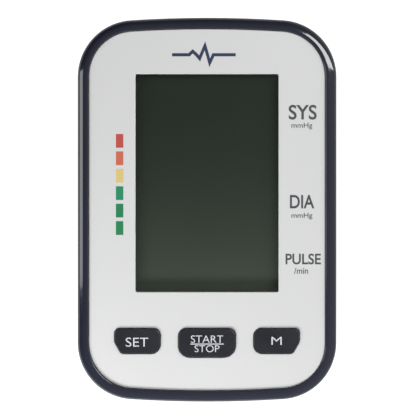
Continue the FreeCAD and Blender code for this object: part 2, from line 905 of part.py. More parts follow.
def bay_walls(body):
    """The solid blocks that the battery bay and the latch's niche are hollowed out of."""
    width = ("-bay_half_width - bay_wall", "bay_half_width + bay_wall")
    bay = span(*width, "bay_low_y - bay_low_wall", "bay_high_y + bay_high_wall")
    extrude(body, "bay_block", INSIDE_FLOOR, "bay_ceiling + bay_roof", bay)
    width = ("-niche_half_width - niche_wall", "niche_half_width + niche_wall")
    niche = span(*width, "niche_low_y - niche_wall", "bay_low_y - weld")
    extrude(body, "niche_block", INSIDE_FLOOR, "niche_ceiling + niche_wall", niche)


def battery_bay(body):
    """The bay, the niche and catch for the door's latch, the door's rebate, and the ribs between cells."""
    bay = span("-bay_half_width", "bay_half_width", "bay_low_y", "bay_high_y")
    carve(body, "bay", BELOW, "bay_ceiling", bay)
    niche = span("-niche_half_width", "niche_half_width", "niche_low_y", "niche_high_y")
    carve(body, "niche", BELOW, "niche_ceiling", niche)
    width = ("-door_half_width - door_gap", "door_half_width + door_gap")
    rebate = span(*width, "door_low_y - door_gap", "hinge_y + hinge_edge_radius + door_gap")
    carve(body, "rebate", BELOW, "case_bottom + door_thickness + fit_gap", rebate)
    width = ("-niche_half_width", "niche_half_width")
    catch = span(*width, "niche_low_y - weld / 2", "niche_low_y + catch_depth")
    extrude(body, "catch", "case_bottom + catch_low", "case_bottom + catch_high", catch)
    for i in (-1, 0, 1):
        width = (f"{i} * cell_pitch - bay_rib / 2", f"{i} * cell_pitch + bay_rib / 2")
        rib = span(*width, "bay_low_y + bay_rib_end", "bay_high_y - bay_rib_end")
        extrude(body, f"bay_rib_{i + 2}", "bay_ceiling - bay_rib_length", "bay_ceiling + bay_roof / 3", rib)
    reach = "door_half_width + hinge_pin_length + door_gap"
    hinge = disc("hinge_pin_radius + hinge_clearance", "hinge_y", "hinge_level")
    carve(body, "hinge_holes", f"-({reach})", reach, hinge, plane="YZ_Plane")
    leads = discs("lead_hole_radius", [(f"{side} * 1.5 * cell_pitch", "lead_hole_y") for side in (-1, 1)])
    lead_holes_low = "cell_level + contact_height / 2 - weld / 2"
    carve(body, "lead_holes", lead_holes_low, "bay_ceiling + bay_roof + weld", *leads)


def screw_ways(body):
    """The counterbores and holes for the case screws, and the recesses for the feet."""
    heads = discs("screw_head_radius + screw_play", BOSSES)
    carve(body, "counterbores", BELOW, "screw_seat + screw_head_height", *heads)
    stems = discs("screw_radius + screw_play", BOSSES)
    carve(body, "screw_clearance", "screw_seat", "boss_meeting", *stems)
    recesses = [foot(x, y, "foot_gap") for x, y in FEET]
    carve(body, "foot_recesses", BELOW, "case_bottom + foot_recess", *recesses)


def wall_openings(body):
    """The openings for the air socket at the left, the mains jack at the right, and the pump's sound."""
    left, right = "-case_width / 2", "case_width / 2"
    hole = disc("socket_radius + fit_gap", "air_row_y", "air_level")
    carve(body, "socket_hole", left, "socket_end_x", hole, plane="YZ_Plane")
    landing = disc("socket_flange_radius + fit_gap", "air_row_y", "air_level")
    landing_x = "socket_face_x + socket_flange_thickness + gasket_thickness"
    carve(body, "socket_landing", left, landing_x, landing, plane="YZ_Plane")
    hole = disc("jack_collar_radius + fit_gap", "jack_y", "jack_level")
    carve(body, "jack_hole", "jack_front_x - weld", right, hole, plane="YZ_Plane")
    size = ("sound_slot_width", "sound_slot_length")
    slots = [
        rectangle(*size, f"{i} * sound_slot_pitch", "sound_slot_y", "0.4 * sound_slot_width")
        for i in (-2, -1, 0, 1, 2)
    ]
    carve(body, "sound_slots", BELOW, f"{FLOOR_TOP} + weld", *slots)


def pump_saddles(body):
    """Two saddles that cradle the pump's cushion, and the shelf under the valve."""
    outside = ("pump_y - saddle_half_width", "pump_y + saddle_half_width")
    saddle = span(*outside, INSIDE_FLOOR, "saddle_top")
    for i in (0, 1):
        x = f"pump_back_x + saddle_start + {i} * saddle_spacing"
        extrude(body, f"saddle_{i}", x, f"{x} + saddle_thickness", saddle, plane="YZ_Plane")
    cradle = disc("cushion_radius + saddle_gap", "pump_y", "air_level")
    carve(body, "saddle_cut", "pump_back_x", "pump_back_x + motor_length", cradle, plane="YZ_Plane")
    width = ("manifold_x - valve_shelf_half_width", "manifold_x + valve_shelf_half_width")
    shelf = span(*width, "valve_low_y + weld", "valve_low_y + valve_length - weld")
    extrude(body, "valve_shelf", INSIDE_FLOOR, "air_level - valve_half_height", shelf)


def foot(x, y, growth="0"):
    """A foot's outline, a strip with rounded ends."""
    size = (f"foot_width + 2 * {growth}", f"foot_length + 2 * {growth}")
    return rectangle(*size, x, y, f"0.48 * foot_width + {growth}")


def feet():
    """Four rubber strips let into the bottom."""
    solids = []
    for i, (x, y) in enumerate(FEET):
        body = document.addObject("PartDesign::Body", f"foot_{i}")
        last = extrude(body, f"foot_pad_{i}", "0", "case_bottom + foot_recess", foot(x, y))
        soften(body, f"foot_edge_{i}", last, "foot_edge", at_level("0"))
        solids.append(body)
    group("rubber_feet", *solids)


# Display and board ----------------------------------------------------------------------------------------


def display():
    """The glass sandwich with its polariser and reflector, the contact strips and the frame round them."""
    rear = "(board_top + dome_height)"
    middle, front = f"({rear} + glass_thickness)", f"({rear} + 2 * glass_thickness)"
    half, low, high = "glass_width / 2", "window_y - glass_length / 2", "window_y + glass_length / 2"
    sub_part(block("lcd_rear_glass", f"-{half}", half, low, high, rear, middle))
    between_ledges = (f"{low} + glass_ledge", f"{high} - glass_ledge")
    sub_part(block("lcd_front_glass", f"-{half}", half, *between_ledges, middle, front))
    film_x = "(window_width / 2 + polariser_margin)"
    film = (f"-{film_x}", film_x, *between_ledges)
    sub_part(block("lcd_polariser", *film, front, f"{front} + polariser_thickness"))
    back_x = "(window_width / 2 - zebra_width)"
    back = (f"-{back_x}", back_x, "window_y - window_length / 2", "window_y + window_length / 2")
    sub_part(block("lcd_reflector", *back, f"{rear} - reflector_thickness", rear))
    contact_strips(rear)
    display_frame(rear)


def contact_strips(rear):
    """Two striped rubber strips that join the glass to the board."""
    along = ("window_y - zebra_length / 2", "window_y + zebra_length / 2")
    strips = []
    for side, name in ((-1, "left"), (1, "right")):
        centre = f"{side} * (glass_width / 2 - zebra_width / 2 - zebra_margin)"
        across = (f"{centre} - zebra_width / 2", f"{centre} + zebra_width / 2")
        strips.append(block(f"zebra_{name}", *across, *along, "board_top", rear))
    group("zebra_strips", *strips)


def display_frame(rear):
    """The frame that holds the glass, with a bar under each of its ends."""
    frame = new_body("lcd_frame")
    width, length = "glass_width + 2 * glass_gap", "glass_length + 2 * glass_gap"
    inside = rectangle(width, length, "0", "window_y")
    outer_size = (f"{width} + 2 * frame_wall", "glass_length + 2 * frame_wall")
    outside = rectangle(*outer_size, "0", "window_y", "frame_corner")
    extrude(frame, "frame_ring", "board_top", f"{DECK_BOTTOM} - key_travel_gap", outside, inside)
    for side, name in ((-1, "low"), (1, "high")):
        bar_y = f"window_y + {side} * (glass_length / 2 - frame_bar_inset)"
        bar = rectangle("glass_width + frame_bar_overlap", "frame_bar_width", "0", bar_y)
        extrude(frame, f"frame_bar_{name}", "board_top", rear, bar)


BOARD_BOTTOM = "(board_top - board_thickness)"
HEADERS = [
    ("motor_header_x", "motor_header_y"),
    ("(-1.5 * cell_pitch)", "0"),
    ("(1.5 * cell_pitch)", "0"),
    ("jack_header_x", "jack_y"),
    ("valve_header_x", "valve_header_y"),
]


def board():
    """The main board, its screws, and the components under it."""
    body = new_body("main_board")
    edge = span("-board_width / 2", "board_width / 2", "board_low_y", "board_high_y", "board_corner")
    extrude(body, "board_sheet", BOARD_BOTTOM, "board_top", edge)
    carve(body, "board_notches", BOARD_BOTTOM, "board_top", *discs("board_notch_radius", BOSSES))
    carve(body, "board_holes", BOARD_BOTTOM, "board_top", *discs("board_screw_radius + screw_play", POSTS))
    board_screws()
    microcontroller()
    memory_chip_size = ("memory_chip_size", "memory_chip_size", "memory_chip_thickness")
    sub_part(hanging("memory_chip", "memory_chip_x", "memory_chip_y", *memory_chip_size))
    crystal_size = ("crystal_length", "crystal_width", "crystal_thickness")
    sub_part(hanging("crystal", "crystal_x", "crystal_y", *crystal_size))
    buzzer()
    low = f"{BOARD_BOTTOM} - capacitor_height"
    cans = []
    for i in (0, 1):
        x = f"capacitor_x + {i} * capacitor_pitch"
        cans.append(rod(f"capacitor_{i}", "capacitor_radius", low, BOARD_BOTTOM, x, "capacitor_y"))
    group("capacitors", *cans)
    size = ("header_width", "header_length", f"({BOARD_BOTTOM} - header_level)")
    group("wire_headers", *[hanging(f"header_{i}", x, y, *size) for i, (x, y) in enumerate(HEADERS)])


def hanging(name, x, y, width, length, height):
    """A block that hangs from the board's underside, about x, y."""
    across = (f"{x} - {width} / 2", f"{x} + {width} / 2")
    along = (f"{y} - {length} / 2", f"{y} + {length} / 2")
    return block(name, *across, *along, f"{BOARD_BOTTOM} - {height}", BOARD_BOTTOM)


def buzzer():
    """The buzzer, with the sound hole in its lower face."""
    low = f"{BOARD_BOTTOM} - buzzer_height"
    spot = ("0", "buzzer_y")
    case = rod("buzzer_case", "buzzer_radius", low, BOARD_BOTTOM, *spot)
    hole = rod("buzzer_hole", "buzzer_hole_radius", f"{low} - weld", f"{low} + buzzer_chamber", *spot)
    sub_part(less("buzzer", case, hole))


def board_screws():
    """Four screws up through the board into the upper shell's posts."""
    screw = turned(
        "board_screw",
        ("0", "-board_screw_head_height"),
        ("0.9 * board_screw_head_radius", "-board_screw_head_height"),
        ("board_screw_head_radius", "0"),
        ("board_screw_radius", "0"),
        ("board_screw_radius", "0.9 * board_screw_length"),
        ("0", "board_screw_length"),
    )
    places = enumerate(POSTS)
    group("board_screws", *[copy_of(screw, f"board_screw_{i}", x, y, BOARD_BOTTOM) for i, (x, y) in places])


def microcontroller():
    """The main chip, its case bevelled, on a thinner square of leads."""
    chip = new_body("microcontroller")
    leads_low = f"{BOARD_BOTTOM} - chip_leads_thickness"
    case_low = f"{leads_low} - chip_thickness"
    leads = rectangle("chip_leads_size", "chip_leads_size", "chip_x", "chip_y")
    extrude(chip, "chip_leads", leads_low, BOARD_BOTTOM, leads)
    case = rectangle("chip_size", "chip_size", "chip_x", "chip_y")
    last = extrude(chip, "chip_case", case_low, leads_low, case)
    soften(chip, "chip_bevel", last, "chip_leads_thickness", at_level(case_low), "Chamfer")


# Air line -------------------------------------------------------------------------------------------------


def barb(length, root="0"):
    """The profile of a hose barb above its root, as radius and height corners."""
    return (
        ("barb_radius", root),
        ("barb_radius", f"{root} + {length} - barb_tip"),
        ("barb_radius + barb_ridge", f"{root} + {length} - barb_tip + barb_rise"),
        ("barb_radius - barb_taper", f"{root} + {length}"),
    )


def turned_barb(name, length):
    """A barb with its bore, standing on the XY plane."""
    return turned(name, ("barb_bore_radius", "0"), *barb(length), ("barb_bore_radius", length))


def manifold():
    """A four-way connector between the pump, valve, sensor and cuff socket."""
    centres = ("manifold_x", "air_row_y", "air_level")
    (low_x, high_x), (low_y, high_y), (low_z, high_z) = [
        (f"{centre} - manifold_half", f"{centre} + manifold_half") for centre in centres
    ]
    x, y, z = centres
    bore = "barb_bore_radius"
    cube = block("manifold_cube", low_x, high_x, low_y, high_y, low_z, high_z)
    along_x = rod("manifold_bore_x", bore, low_x, x, y=y, z=z, axis="x")
    along_y = rod("manifold_bore_y", bore, low_y, high_y, x=x, z=z, axis="y")
    along_z = rod("manifold_bore_z", bore, z, high_z, x, y)
    core = less("manifold_core", cube, along_x, along_y, along_z)
    spots = [
        ("barb_x", low_x, y, z, ((0, 1, 0), -90)),
        ("barb_low_y", x, low_y, z, ((1, 0, 0), 90)),
        ("barb_high_y", x, high_y, z, ((1, 0, 0), -90)),
        ("barb_z", x, y, high_z, None),
    ]
    barbs = [place(turned_barb(name, "barb_length"), *spot) for name, *spot in spots]
    sub_part(joined("air_manifold", core, *barbs))


def rounded_path(points, bend):
    """A wire of straight runs joined by tangent arcs of one radius, and its first direction."""
    places = [Vector(*(number(value) for value in point)) for point in points]
    edges, start = [], places[0]
    for before, corner, after in zip(places, places[1:], places[2:]):
        arc, first, last = bend_at(before, corner, after, bend)
        edges += [Part.LineSegment(start, first).toShape(), arc.toShape()]
        start = last
    edges.append(Part.LineSegment(start, places[-1]).toShape())
    return Part.Wire(edges), places[1] - places[0]


def bend_at(before, corner, after, radius):
    """The arc that rounds a corner in space, with its ends."""
    to_before = (before - corner).normalize()
    to_after = (after - corner).normalize()
    half = to_before.getAngle(to_after) / 2
    reach = radius / math.tan(half)
    first, last = corner + to_before * reach, corner + to_after * reach
    inward = (to_before + to_after).normalize()
    middle = corner + inward * (radius / math.sin(half) - radius)
    return Part.Arc(first, middle, last), first, last


def swept(path, direction, radius):
    """A round bar along a path."""
    ring = Part.Wire(Part.makeCircle(radius, path.OrderedVertexes[0].Point, direction))
    solid, frenet = True, False
    return path.makePipeShell([ring], solid, frenet)


def tube(name, *points, bend="0"):
    """A hollow silicone tube along a route."""
    path, direction = rounded_path(points, number(bend))
    outside = swept(path, direction, number("tube_radius"))
    feature = document.addObject("Part::Feature", name)
    feature.Shape = outside.cut(swept(path, direction, number("tube_bore_radius")))
    return sub_part(feature)


def tubes():
    """The four tubes that join the pump, valve, sensor and cuff socket to the manifold."""
    off_manifold = "(manifold_half + tube_end_gap)"
    x, y, z = "manifold_x", "air_row_y", "air_level"
    corner = ("manifold_x", "pump_y", z)
    low_end = (x, f"{y} - {off_manifold}", z)
    tube("pump_tube", (f"{PUMP_FACE} + tube_end_gap", "pump_y", z), corner, low_end, bend="pump_tube_bend")
    tube("socket_tube", (f"{x} - {off_manifold}", y, z), ("socket_end_x + tube_end_gap", y, z))
    valve_root = "valve_low_y - valve_cap_length - tube_end_gap"
    tube("valve_tube", (x, f"{y} + {off_manifold}", z), (x, valve_root, z))
    sensor_root = f"{BOARD_BOTTOM} - sensor_height - tube_end_gap"
    tube("sensor_tube", (x, y, f"{z} + {off_manifold}"), (x, y, sensor_root))


def socket():
    """The socket for the cuff's hose plug, in the left wall, with its gasket."""
    reach = "(socket_end_x - socket_face_x)"
    bore, flange = "socket_bore_radius", "socket_flange_radius"
    body = turned(
        "air_socket",
        (bore, "0"),
        (f"{flange} - socket_flange_edge", "0"),
        (flange, "socket_flange_edge"),
        (flange, "socket_flange_thickness"),
        ("socket_radius", "socket_flange_thickness"),
        ("socket_radius", reach),
        *barb("socket_barb_length", reach),
        ("barb_bore_radius", f"{reach} + socket_barb_length"),
        ("barb_bore_radius", "socket_bore_length"),
        (bore, "socket_bore_length"),
    )
    sub_part(place(body, "socket_face_x", "air_row_y", "air_level", ((0, 1, 0), 90)))
    gasket = turned(
        "air_socket_gasket",
        ("socket_radius + fit_gap", "0"),
        (flange, "0"),
        (flange, "gasket_thickness"),
        ("socket_radius + fit_gap", "gasket_thickness"),
    )
    gasket_x = "socket_face_x + socket_flange_thickness"
    sub_part(place(gasket, gasket_x, "air_row_y", "air_level", ((0, 1, 0), 90)))


def sensor():
    """The pressure sensor under the board, with its nozzle down."""
    size = ("sensor_width", "sensor_length", "sensor_height")
    case = hanging("sensor_case", "manifold_x", "air_row_y", *size)
    nozzle = turned_barb("sensor_nozzle", "sensor_barb_length")
    place(nozzle, "manifold_x", "air_row_y", f"{BOARD_BOTTOM} - sensor_height", ((1, 0, 0), 180))
    sub_part(joined("pressure_sensor", case, nozzle))


# Air pump -------------------------------------------------------------------------------------------------

BASE_X = "(pump_back_x + motor_length)"
DIAPHRAGM_X = f"({BASE_X} + pump_base_length)"
HEAD_X = f"({DIAPHRAGM_X} + diaphragm_thickness)"
PUMP_FACE = f"({HEAD_X} + pump_head_length)"


def along_pump(thing, x):
    """Stand a turned body's own Z axis along the pump's axis, from x."""
    return place(thing, x, "pump_y", "air_level", ((0, 1, 0), 90))


def pump():
    """A diaphragm pump: motor, crank, wobble plate, rubber diaphragm and head, in a foam cushion."""
    motor()
    crank()
    square = rectangle("2 * pump_half", "2 * pump_half", "pump_y", "air_level", "pump_corner")
    base = new_body("pump_base")
    extrude(base, "base_block", BASE_X, DIAPHRAGM_X, square, plane="YZ_Plane")
    hollow = disc("pump_half - pump_base_wall", "pump_y", "air_level")
    base_floor = f"{BASE_X} + pump_base_floor"
    carve(base, "base_hollow", base_floor, DIAPHRAGM_X, hollow, plane="YZ_Plane")
    eye = disc("base_eye_radius", "pump_y", "air_level")
    carve(base, "base_eye", BASE_X, base_floor, eye, plane="YZ_Plane")
    wobble = turned(
        "pump_wobble_plate",
        ("0", "0"),
        ("wobble_radius", "0"),
        ("wobble_radius", "wobble_thickness"),
        ("0", "wobble_thickness"),
    )
    sub_part(along_pump(wobble, f"{DIAPHRAGM_X} - wobble_thickness - wobble_gap"))
    rubber_diaphragm(square)
    pump_head(square)
    cushion = turned(
        "pump_cushion",
        ("motor_radius + cushion_gap", "0"),
        ("cushion_radius", "0"),
        ("cushion_radius", "cushion_length"),
        ("motor_radius + cushion_gap", "cushion_length"),
    )
    sub_part(along_pump(cushion, "pump_back_x + cushion_start"))


def motor():
    """The motor's can and end cap, and the rotor with its shaft."""
    inside = "motor_radius - motor_wall"
    eye = "shaft_radius + shaft_gap"
    can = turned(
        "pump_motor_can",
        ("motor_radius", "0"),
        ("motor_radius", "motor_length"),
        (eye, "motor_length"),
        (eye, "motor_length - motor_wall"),
        (inside, "motor_length - motor_wall"),
        (inside, "0"),
    )
    sub_part(along_pump(can, "pump_back_x"))
    cap = turned(
        "pump_motor_end_cap",
        ("0", "-end_cap_boss"),
        ("end_cap_boss_radius", "-end_cap_boss"),
        ("end_cap_boss_radius + end_cap_bevel", "0"),
        (f"{inside} - boss_gap", "0"),
        (f"{inside} - boss_gap", "end_cap_thickness"),
        ("0", "end_cap_thickness"),
    )
    sub_part(along_pump(cap, "pump_back_x"))
    shaft_start, shaft_end = "end_cap_thickness + rotor_end_play", "motor_length + shaft_reach"
    rotor = turned(
        "pump_rotor",
        ("0", shaft_start),
        ("shaft_radius", shaft_start),
        ("shaft_radius", "rotor_start"),
        ("rotor_radius", "rotor_start"),
        ("rotor_radius", "rotor_start + rotor_length"),
        ("shaft_radius", "rotor_start + rotor_length"),
        ("shaft_radius", shaft_end),
        ("0", shaft_end),
    )
    sub_part(along_pump(rotor, "pump_back_x"))


def crank():
    """The crank on the shaft's end, whose off-centre pin drives the wobble plate."""
    hub = turned(
        "pump_crank_hub",
        ("shaft_radius", "0"),
        ("crank_radius", "0"),
        ("crank_radius", "crank_length"),
        ("0", "crank_length"),
        ("0", "crank_socket"),
        ("shaft_radius", "crank_socket"),
    )
    along_pump(hub, f"{BASE_X} + crank_start")
    face = f"{BASE_X} + crank_start + crank_length"
    spot = {"y": "pump_y", "z": "air_level + drive_pin_throw"}
    drive = rod("crank_drive_pin", "drive_pin_radius", face, f"{face} + drive_pin_length", axis="x", **spot)
    sub_part(joined("pump_crank", hub, drive))


def rubber_diaphragm(square):
    """The rubber sheet between base and head, with three cups that reach into the base."""
    body = new_body("pump_diaphragm")
    extrude(body, "diaphragm_sheet", DIAPHRAGM_X, HEAD_X, square, plane="YZ_Plane")
    spots = []
    for turn in (90, 210, 330):
        spots.append((f"pump_y + cup_circle * cos({turn})", f"air_level + cup_circle * sin({turn})"))
    cups, hollows = discs("cup_radius", spots), discs("cup_radius - cup_wall", spots)
    extrude(body, "diaphragm_cups", f"{DIAPHRAGM_X} - cup_depth", DIAPHRAGM_X, *cups, plane="YZ_Plane")
    carve(body, "diaphragm_hollows", f"{DIAPHRAGM_X} - cup_depth / 2", HEAD_X, *hollows, plane="YZ_Plane")


def pump_head(square):
    """The head over the diaphragm, with its chamber and the outlet's nozzle."""
    head = new_body("pump_head")
    extrude(head, "head_block", HEAD_X, PUMP_FACE, square, plane="YZ_Plane")
    chamber = disc("head_chamber_radius", "pump_y", "air_level")
    carve(head, "head_chamber", HEAD_X, f"{HEAD_X} + head_chamber_depth", chamber, plane="YZ_Plane")
    nozzle_end = f"{PUMP_FACE} + barb_length"
    nozzle = disc("barb_radius", "pump_y", "air_level")
    extrude(head, "head_nozzle", f"{PUMP_FACE} - weld / 2", nozzle_end, nozzle, plane="YZ_Plane")
    outlet = disc("barb_bore_radius", "pump_y", "air_level")
    carve(head, "head_outlet", f"{HEAD_X} + head_chamber_depth / 2", nozzle_end, outlet, plane="YZ_Plane")


# Exhaust valve --------------------------------------------------------------------------------------------


def valve():
    """The solenoid exhaust valve: steel frame, coil, plunger and nozzle cap."""
    low, high = "valve_low_y", "(valve_low_y + valve_length)"
    valve_frame(low, high)
    eye = "plunger_radius + coil_gap"
    coil_length = "valve_length - 2 * valve_sheet - 2 * coil_gap"
    bobbin = (("coil_radius", "0"), ("coil_radius", coil_length))
    coil = turned("valve_coil", (eye, "0"), *bobbin, (eye, coil_length))
    sub_part(place(coil, "manifold_x", f"{low} + valve_sheet + coil_gap", "air_level", ((1, 0, 0), -90)))
    start = f"{low} + plunger_travel"
    spot = {"x": "manifold_x", "z": "air_level"}
    sub_part(rod("valve_plunger", "plunger_radius", start, f"{start} + plunger_length", axis="y", **spot))
    cap = turned(
        "valve_cap",
        ("barb_bore_radius", "0"),
        ("valve_cap_radius", "0"),
        ("valve_cap_radius", "valve_cap_length"),
        *barb("valve_barb_length", "valve_cap_length"),
        ("barb_bore_radius", "valve_cap_length + valve_barb_length"),
    )
    sub_part(place(cap, "manifold_x", low, "air_level", ((1, 0, 0), 90)))


def valve_frame(low, high):
    """The bent steel frame round the coil, with an eye for the plunger in its lower leg."""
    frame = new_body("valve_frame")
    width = ("manifold_x - valve_half_width", "manifold_x + valve_half_width")
    bottom, top = "air_level - valve_half_height", "air_level + valve_half_height"
    outside = span(low, high, bottom, top)
    inner_legs = (f"{low} + valve_sheet", f"{high} - valve_sheet")
    inside = span(*inner_legs, f"{bottom} + valve_sheet", f"{top} - valve_sheet")
    extrude(frame, "frame_loop", *width, outside, inside, plane="YZ_Plane")
    eye = disc("plunger_radius + coil_gap", "manifold_x", "air_level")
    carve(frame, "frame_eye", f"-({low} + 1.5 * valve_sheet)", f"-({low} - weld)", eye, plane="XZ_Plane")


# Power ----------------------------------------------------------------------------------------------------


def mains_jack():
    """The jack for the mains adapter, in the right wall, with its centre pin."""
    jack = new_body("dc_jack")
    across = ("jack_y - jack_half_width", "jack_y + jack_half_width")
    box = span(*across, "jack_level - jack_half_height", "jack_level + jack_half_height")
    axis = ("jack_y", "jack_level")
    collar, bore, seat = [disc(f"jack_{name}_radius", *axis) for name in ("collar", "bore", "pin")]
    bore_end = "jack_face_x - jack_bore_length"
    pin_root = f"{bore_end} - jack_pin_root"
    extrude(jack, "jack_box", "jack_back_x", "jack_front_x", box, plane="YZ_Plane")
    extrude(jack, "jack_collar", "jack_front_x", "jack_face_x", collar, plane="YZ_Plane")
    carve(jack, "jack_bore", bore_end, "jack_face_x", bore, plane="YZ_Plane")
    carve(jack, "jack_pin_seat", pin_root, "jack_face_x", seat, plane="YZ_Plane")
    tip = "jack_face_x - jack_pin_recess"
    sub_part(rod("dc_jack_pin", "jack_pin_radius", pin_root, tip, y="jack_y", z="jack_level", axis="x"))


# Batteries ------------------------------------------------------------------------------------------------

CELLS = [(-1.5, 1), (-0.5, -1), (0.5, 1), (1.5, -1)]


def batteries():
    """Four AA cells, laid alternately, with a spring at each cell's flat end."""
    spring = coil_spring()
    springs = []
    play = "(contact_thickness + cell_end_play)"
    seat = "(spring_seat + spring_wire_radius)"
    for i, (column, way) in enumerate(CELLS, start=1):
        x = f"{column} * cell_pitch"
        if way > 0:
            cell_start, spring_start = f"bay_high_y - {play} - cell_length", f"bay_low_y + {seat}"
        else:
            cell_start, spring_start = f"bay_low_y + {play} + cell_length", f"bay_high_y - {seat}"
        turn = ((1, 0, 0), -90 * way)
        sub_part(place(cell(f"battery_cell_{i}"), x, cell_start, "cell_level", turn))
        springs.append(copy_of(spring, f"spring_{i}", x, spring_start, "cell_level", turn))
    group("battery_springs", *springs)
    contacts()


def cell(name):
    """An AA cell, its flat end on the XY plane."""
    shoulder = "cell_length - cell_nub_length"
    return turned(
        name,
        ("0", "0"),
        ("cell_radius", "0", "cell_low_edge"),
        ("cell_radius", shoulder, "cell_high_edge"),
        ("cell_nub_radius", shoulder),
        ("cell_nub_radius", "cell_length"),
        ("0", "cell_length"),
    )


def contacts():
    """The plates at the two ends of the bay: each joins the cells from its first column to its last."""
    low = ("bay_low_y + fit_gap", "bay_low_y + fit_gap + contact_thickness")
    high = ("bay_high_y - fit_gap - contact_thickness", "bay_high_y - fit_gap")
    joins = [(-1.5, -0.5, low), (0.5, 1.5, low), (-1.5, -1.5, high), (-0.5, 0.5, high), (1.5, 1.5, high)]
    tall = ("cell_level - contact_height / 2", "cell_level + contact_height / 2")
    plates = []
    for i, (first, last, depth) in enumerate(joins):
        across = (f"{first} * cell_pitch - contact_width / 2", f"{last} * cell_pitch + contact_width / 2")
        plates.append(block(f"contact_{i}", *across, *depth, *tall))
    group("battery_contacts", *plates)


TURNS_PER_SEGMENT = 0.5


def coil_spring():
    """One contact spring, standing on its own Z axis."""
    helix = document.addObject("Part::Helix", "spring_line")
    bind(helix, Pitch="spring_pitch", Height="spring_height", Radius="spring_radius")
    helix.SegmentLength = TURNS_PER_SEGMENT
    wire = document.addObject("Part::Circle", "spring_wire")
    bind(wire, Radius="spring_wire_radius")
    place(wire, "spring_radius", "0", "0", ((1, 0, 0), 90))
    document.recompute()
    sweep = document.addObject("Part::Sweep", "contact_spring")
    sweep.Sections = [wire]
    sweep.Spine = (helix, [f"Edge{i + 1}" for i in range(len(helix.Shape.Edges))])
    sweep.Solid = True
    sweep.Frenet = True
    return sweep


def battery_door():
    """The hinged door under the battery bay, with hinge pins, stiffening ribs and a sprung latch."""
    door = new_body("battery_door")
    top = "case_bottom + door_thickness"
    plate = span("-door_half_width", "door_half_width", "door_low_y", "hinge_y")
    extrude(door, "door_plate", "case_bottom", top, plate)
    barrel = disc("hinge_edge_radius", "hinge_y", "hinge_level")
    extrude(door, "door_barrel", "-door_half_width", "door_half_width", barrel, plane="YZ_Plane")
    reach = "door_half_width + hinge_pin_length"
    pins = disc("hinge_pin_radius", "hinge_y", "hinge_level")
    extrude(door, "door_pins", f"-({reach})", reach, pins, plane="YZ_Plane")
    inner = "(door_half_width - door_rib_inset)"
    ribs = []
    for i in range(3):
        y = f"first_door_rib_y + {i} * door_rib_pitch"
        ribs.append(span(f"-{inner}", inner, y, f"{y} + door_rib"))
    extrude(door, "door_ribs", f"{top} - weld / 4", f"{top} + door_rib_height", *ribs)
    extrude(door, "latch", "-latch_half_width", "latch_half_width", latch_section(), plane="YZ_Plane")
    grooves = []
    for i in range(4):
        size = (f"first_groove_length - {i} * 2 * groove_pitch", "groove_width")
        grooves.append(rectangle(*size, "0", f"first_groove_y + {i} * groove_pitch"))
    carve(door, "grip_grooves", BELOW, "case_bottom + groove_depth", *grooves)


def latch_section():
    """The latch's section in Y and Z: a strip that loops up and over, with a tooth and a finger pad."""
    root, root_inside = "door_low_y", "(door_low_y + latch_thickness)"
    leg_inside, leg = "(door_low_y - latch_loop)", "(door_low_y - latch_loop - latch_thickness)"
    loop_inside, loop = "(case_bottom + latch_height)", "(case_bottom + latch_height + latch_thickness)"
    wide, tight = "0.95 * latch_loop", "0.45 * latch_loop"
    pad_top = "case_bottom + latch_pad_thickness"
    return polygon(
        (root_inside, "case_bottom + weld"),
        (root_inside, loop, wide),
        (leg, loop, wide),
        (leg, "case_bottom + latch_tooth_high"),
        (f"{leg} - latch_tooth", "case_bottom + latch_tooth_low"),
        (leg, "case_bottom + latch_tooth_low"),
        (leg, pad_top),
        (f"{leg} - latch_pad", pad_top),
        (f"{leg} - latch_pad", "case_bottom"),
        (leg_inside, "case_bottom"),
        (leg_inside, loop_inside, tight),
        (root, loop_inside, tight),
        (root, "case_bottom + weld"),
    )


# Screws and leads -----------------------------------------------------------------------------------------


def case_screws():
    """Four self-tapping screws with cross slots, from below."""
    head = "screw_head_height"
    screw = turned(
        "case_screw",
        ("0", "0"),
        ("screw_head_radius - screw_head_bevel", "0"),
        ("screw_head_radius", "screw_head_bevel"),
        ("screw_head_radius", head),
        ("screw_radius", head),
        ("screw_radius", f"{head} + screw_length"),
        ("0", f"{head} + screw_length + screw_point"),
    )
    sizes = ("screw_slot", "screw_slot_length")
    for name, slot in (("cross_slot", rectangle(*sizes)), ("long_slot", rectangle(*reversed(sizes)))):
        carve(screw, name, "0", "screw_slot_depth", slot)
    places = enumerate(BOSSES)
    group("case_screws", *[copy_of(screw, f"case_screw_{i}", x, y, "screw_seat") for i, (x, y) in places])


def motor_leads():
    """The motor's two leads. They rise beside its end cap, run past each other, and end side by side."""
    start_x = "pump_back_x - end_cap_boss - lead_gap"
    level = "air_level + motor_lead_rise"
    header = "motor_header_x"
    routes = []
    for side, clearance, landing_offset in ((-1, 3.2, 0.8), (1, 4.5, -0.8)):
        y, x = f"pump_y + {side} * motor_lead_offset", f"pump_back_x - {clearance}"
        landing = f"motor_header_y + {landing_offset}"
        rise = [(start_x, y, level), (x, y, level), (x, y, "lead_level")]
        across = [(x, landing, "lead_level"), (header, landing, "lead_level")]
        routes.append(([*rise, *across, (header, landing, "header_level")], "motor_lead_bend"))
    return routes


def battery_leads():
    """The two leads up from the outer battery contacts."""
    routes = []
    for side in (-1, 1):
        x = f"{side} * 1.5 * cell_pitch"
        start = (x, "lead_hole_y", "cell_level + contact_height / 2 + lead_gap")
        rise = [(x, "lead_hole_y", "bay_lead_level"), (x, "0", "bay_lead_level"), (x, "0", "header_level")]
        routes.append(([start, *rise], "lead_bend"))
    return routes


